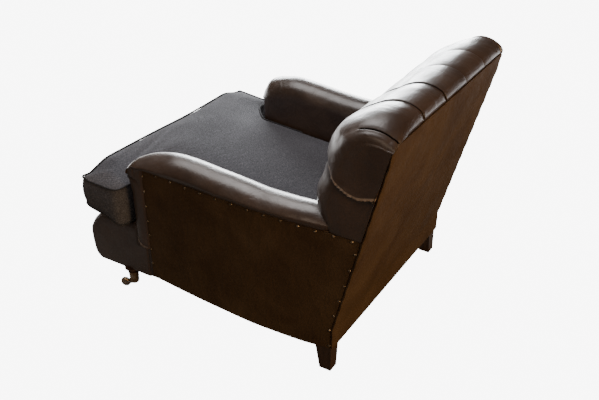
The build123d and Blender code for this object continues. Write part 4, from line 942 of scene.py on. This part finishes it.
def borderPoint(u, v):
    r = border["cornerRadius"]
    s = (v - 0.5) * 2
    side = 1 if s >= 0 else -1
    run = abs(s) * (borderStraight + borderTurn + borderSide)
    rise = min(u / border["riseShare"], 1)
    onTop = max(u - border["riseShare"], 0) / (1 - border["riseShare"])
    z = border["bottom"] + (border["top"] - border["bottom"]) * rise
    inwards = lineTable(border["sideInsets"], z)
    front = border["front"] + lineTable(border["frontInsets"], z) + onTop * border["frontRun"]
    if run <= borderStraight:
        px, py, turned = run * (borderStraight - inwards) / borderStraight, front, 0
    elif run <= borderStraight + borderTurn:
        a = (run - borderStraight) / r
        px, py = borderStraight - inwards + r * math.sin(a), front + r - r * math.cos(a)
        turned = a / (math.pi / 2)
    else:
        share = (run - borderStraight - borderTurn) / borderSide
        px, py, turned = border["half"] - inwards, front + r + share * (border["end"] - front - r), 1
    px -= onTop * border["sideRun"] * turned * fade(*border["sideRunFades"], py)
    z -= fade(0, border["dropShare"], onTop) * max(border["top"] - (seatLevel(py) - border["underSeat"]), 0)
    dip = border["topDip"] * abs(math.sin(run / border["dipLength"]))
    z -= dip * fade(*border["dipRise"], rise) * (1 - turned)
    inset = border["slack"] * (1 + math.sin(run / border["slackLength"]) * math.sin(math.pi * rise))
    # small pleats drawn in at the corner
    pleats = bump(turned - 0.5, border["pleatHalfWidth"])
    pleats *= wave(turned * border["pleats"], 1) ** border["pleatSharpness"]
    inset += border["pleatDepth"] * pleats * fade(*border["pleatRise"], rise) * (1 - onTop)
    py += inset * (1 - turned)
    tuck = border["panelTuck"] * fade(*border["panelFades"], py)
    tuck += border["armTuck"] * fade(*border["armFades"], py) * fade(*border["armHeights"], z)
    px -= (inset + tuck) * turned
    return side * px, py, z


frontBorder = shapedGrid("frontBorder", *border["grid"], borderPoint, 70, border["wall"], 1)
dress(frontBorder, leather, "leather", "chair", "border_cover", "border_stuffing")
print("front border done")


# seat cushion: a T with a border, crowned, then filled by a short cloth run

# corners: x, y, radius; points are spread evenly along the rounded line
def roundedOutline(corners, count, steps=8):
    points = []
    for k, (x, y, radius) in enumerate(corners):
        corner = Vector((x, y))
        before = Vector(corners[k - 1][:2]) - corner
        after = Vector(corners[(k + 1) % len(corners)][:2]) - corner
        start, end = corner + before.normalized() * radius, corner + after.normalized() * radius
        for t in range(steps + 1):
            s = t / steps
            points.append((1 - s) ** 2 * start + 2 * s * (1 - s) * corner + s * s * end)
    lengths = [0]
    loop = points + points[:1]
    for a, b in zip(loop, loop[1:]):
        lengths.append(lengths[-1] + (b - a).length)
    places = [lengths[-1] * k / count for k in range(count)]
    return list(zip(*(np.interp(places, lengths, [p[axis] for p in loop]).tolist() for axis in (0, 1))))


def farCorner(x, y, radius):
    inNotch = pad["notchDepths"][0] < y < pad["notchDepths"][1]
    return -x, y + (pad["farNotch"] if inNotch else 0), radius


seamHalf = pad["seamHalf"]
seamCorners = seamHalf + [pad["frontMiddle"]] + [farCorner(*corner) for corner in reversed(seamHalf)]
seamOutline = roundedOutline(seamCorners, pad["seamCount"])


# how far the lower and the upper seam lie above their plain places
def seamLift(x, y):
    frontal = pad["frontLift"] * fade(*pad["frontFades"], y)
    sideways = smoothTable(pad["sideLifts"], y)[0]
    low = frontal + (sideways - frontal) * fade(*pad["sideFades"], abs(x))
    corner = pad["cornerLift"] * fade(*pad["cornerSides"], x) * fade(*pad["cornerDepths"], y)
    middle = pad["middleLift"] + pad["middleTilt"] * math.tanh(x / pad["tiltWidth"])
    middle *= fade(*pad["middleDepths"], y) * fade(*pad["middleSides"], abs(x))
    return low, pad["topLift"] + middle + corner - pad["farDrop"] * fade(*pad["farFades"], x)


deselectAll()
bpy.ops.mesh.primitive_circle_add(vertices=pad["seamCount"], radius=1, fill_type="NGON")
cushion = bpy.context.object
rename(cushion, "seatCushion")
for vert, (x, y) in zip(cushion.data.vertices, seamOutline):
    vert.co = Vector((x, y, 0)) * mm
bpy.ops.object.mode_set(mode="EDIT")
bpy.ops.mesh.select_all(action="SELECT")
bpy.ops.mesh.extrude_region_move(TRANSFORM_OT_translate={"value": (0, 0, pad["height"] * mm)})
outwardNormals()
blocks = cushion.modifiers.new("evenCloth", "REMESH")
blocks.mode = "VOXEL"
blocks.voxel_size = pad["voxel"]
applyModifiers(cushion)


# distance of each point to the seam line
def insideDistance(points):
    outline = np.array(seamOutline)
    best = np.full(len(points), np.inf)
    for a, b in zip(outline, np.roll(outline, -1, axis=0)):
        d = b - a
        t = np.clip(((points - a) @ d) / (d @ d), 0, 1)
        best = np.minimum(best, np.hypot(*(points - a - t[:, None] * d).T))
    return best


flat = np.array([tuple(vert.co) for vert in cushion.data.vertices]) / mm
away = insideDistance(flat[:, :2])
highSeam = pad["height"]
onTop = flat[:, 2] > highSeam - pad["seamBand"]
onUnder = flat[:, 2] < pad["seamBand"]
for k, vert in enumerate(cushion.data.vertices):
    x, y, z = flat[k]
    low, high = seamLift(x, y)
    level = clamp(z / highSeam)
    z = seatLevel(y) + low + level * (highSeam - low + high)
    if onTop[k]:
        z += pad["crown"] * (1 - (1 - min(away[k] / pad["shoulder"], 1)) ** 2)
    elif onUnder[k]:
        z -= low * fade(0, pad["underEase"], away[k])
    else:  # the border swells a little between its two seams where it is free
        swell = pad["swell"] * math.sin(math.pi * level) * fade(*pad["swellFades"], y)
        y -= swell * fade(*pad["frontSwell"], y)
        x += math.copysign(swell * fade(*pad["sideSwell"], abs(x)), x)
        if y > pad["notchDepths"][1]:
            x -= math.copysign(pad["tuckIn"] * fade(*pad["tuckSides"], abs(x)), x)
            y -= pad["tuckIn"] * fade(*pad["tuckRear"], y)
    vert.co = Vector((x, y, z)) * mm
heldBand = pad["heldBand"]
nearSeam = (away < heldBand) & ((flat[:, 2] > highSeam - heldBand) | (flat[:, 2] < heldBand))
held = cushion.vertex_groups.new(name="sewnSeams")
held.add([int(k) for k in np.nonzero(nearSeam)[0]], 1.0, "REPLACE")
held.add([int(k) for k in np.nonzero(onUnder)[0]], 1.0, "REPLACE")

startPlaces = np.array([tuple(vert.co) for vert in cushion.data.vertices])
cloth = cushion.modifiers.new("filling", "CLOTH")
cloth.settings.use_pressure = True
cloth.settings.uniform_pressure_force = pad["pressure"]
cloth.settings.effector_weights.gravity = 0
cloth.settings.vertex_group_mass = "sewnSeams"
cloth.settings.quality = 5
cloth.point_cache.frame_start = 1
cloth.point_cache.frame_end = pad["cacheFrames"]
for frameNumber in range(1, pad["frames"] + 1):
    bpy.context.scene.frame_set(frameNumber)
applyModifiers(cushion)
bpy.context.scene.frame_set(1)
cap = pad["cap"] * mm
for vert, start in zip(cushion.data.vertices, startPlaces):
    moved = vert.co - Vector(start)
    limit = cap if moved.z > abs(moved.x) + abs(moved.y) else pad["sideCap"]
    if moved.length > limit:
        vert.co = Vector(start) + moved.normalized() * limit
softer = cushion.modifiers.new("softer", "SMOOTH")
softer.factor = 0.5
softer.iterations = 3
finer = cushion.modifiers.new("finer", "SUBSURF")
finer.levels = 1
finer.render_levels = 1
applyModifiers(cushion)
tidyMesh(cushion, 80, 0.0001)
dress(cushion, seatCloth, "seat_cloth", "cushion", "seat_cushion")
print("seat cushion done")


# piping along both seams

welt = dict(
    radius=3.4, round=10, out=0.6, outBehind=0.7, behindFades=(-372, -340),
    topShare=1, lowShare=0.02)


def pipingLoop(name, heightShare):
    count, around, radius = pad["seamCount"], welt["round"], welt["radius"]
    deselectAll()
    bpy.ops.mesh.primitive_torus_add(major_segments=count, minor_segments=around, major_radius=1,
                                     minor_radius=0.1)
    loop = bpy.context.object
    rename(loop, name)
    for k, vert in enumerate(loop.data.vertices):
        major, minor = divmod(k, around)
        x, y = seamOutline[major]
        nextX, nextY = seamOutline[(major + 1) % count]
        lastX, lastY = seamOutline[major - 1]
        tangent = Vector((nextX - lastX, nextY - lastY, 0)).normalized()
        outward = Vector((tangent.y, -tangent.x, 0))
        angle = 2 * math.pi * minor / around
        low, high = seamLift(x, y)
        lift = low + heightShare * (pad["height"] - low + high)
        out = welt["out"] + welt["outBehind"] * fade(*welt["behindFades"], y)
        centre = Vector((x, y, seatLevel(y) + lift)) + outward * out
        turned = outward * radius * math.cos(angle) + Vector((0, 0, radius * math.sin(angle)))
        vert.co = (centre + turned) * mm
    return loop


topPiping = pipingLoop("topPiping", welt["topShare"])
lowPiping = pipingLoop("lowPiping", welt["lowShare"])
deselectAll()
topPiping.select_set(True)
lowPiping.select_set(True)
bpy.context.view_layer.objects.active = topPiping
bpy.ops.object.join()
piping = bpy.context.object
rename(piping, "cushionPiping")
tidyMesh(piping, 80, 0.00005)
dress(piping, pipingCloth, "piping_cloth", "cushion", "cushion_piping")
print("piping done")


# stuffed deck under the cushion

stuffed = dict(
    grid=(60, 70), half=285.5, front=-440, rear=289, gap=1, edgeDrop=4, edgeWidth=30, thickness=40)


def deckPoint(u, v):
    front, rear = stuffed["front"], stuffed["rear"]
    x = (u - 0.5) * 2 * stuffed["half"]
    y = front + (rear - front) * v
    fromEdge = min(stuffed["half"] - abs(x), y - front, rear - y)
    drop = stuffed["edgeDrop"] * (1 - fade(0, stuffed["edgeWidth"], fromEdge))
    return x, y, seatLevel(y) - stuffed["gap"] - drop


deck = shapedGrid("seatDeck", *stuffed["grid"], deckPoint, 60, stuffed["thickness"])
dress(deck, calico, "stuffing", "chair", "seat_deck")


# floor: pale for the camera, and behind the chair also in reflections

floorLook = dict(
    size=30, colour=(0.12, 0.113, 0.105, 1), glow=9.0, cameraShare=0.9,
    behind=(-0.85, -0.52, 0), behindFrom=(1.1, 2.2), behindShare=0.35)
deselectAll()
bpy.ops.mesh.primitive_plane_add(size=floorLook["size"], location=(0, 0, 0))
floor = bpy.context.object
floor.name = "paleFloor"
floorMaterial, floorTree, floorShader, floorWhere = startMaterial("paleFloor", 0.8)
setInputs(floorTree, floorShader, {"Base Color": floorLook["colour"]})
glow = addNode(floorTree, "Emission", {"Color": (1, 1, 1, 1), "Strength": floorLook["glow"]}).outputs[0]
rays = addNode(floorTree, "LightPath").outputs["Is Camera Ray"]
toCamera = mathNode(floorTree, "MULTIPLY", rays, floorLook["cameraShare"])
behind = addNode(floorTree, "VectorMath", {0: floorWhere, 1: floorLook["behind"]}, operation="DOT_PRODUCT")
litPart = spread(floorTree, behind.outputs["Value"], 0, floorLook["behindShare"], floorLook["behindFrom"])
glowShare = mathNode(floorTree, "MAXIMUM", toCamera, litPart)
blendFloor = mixShaders(floorTree, glowShare, floorShader.outputs[0], glow)
setInputs(floorTree, floorTree.nodes["Material Output"], {"Surface": blendFloor})
floor.data.materials.append(floorMaterial)
print("scene complete")
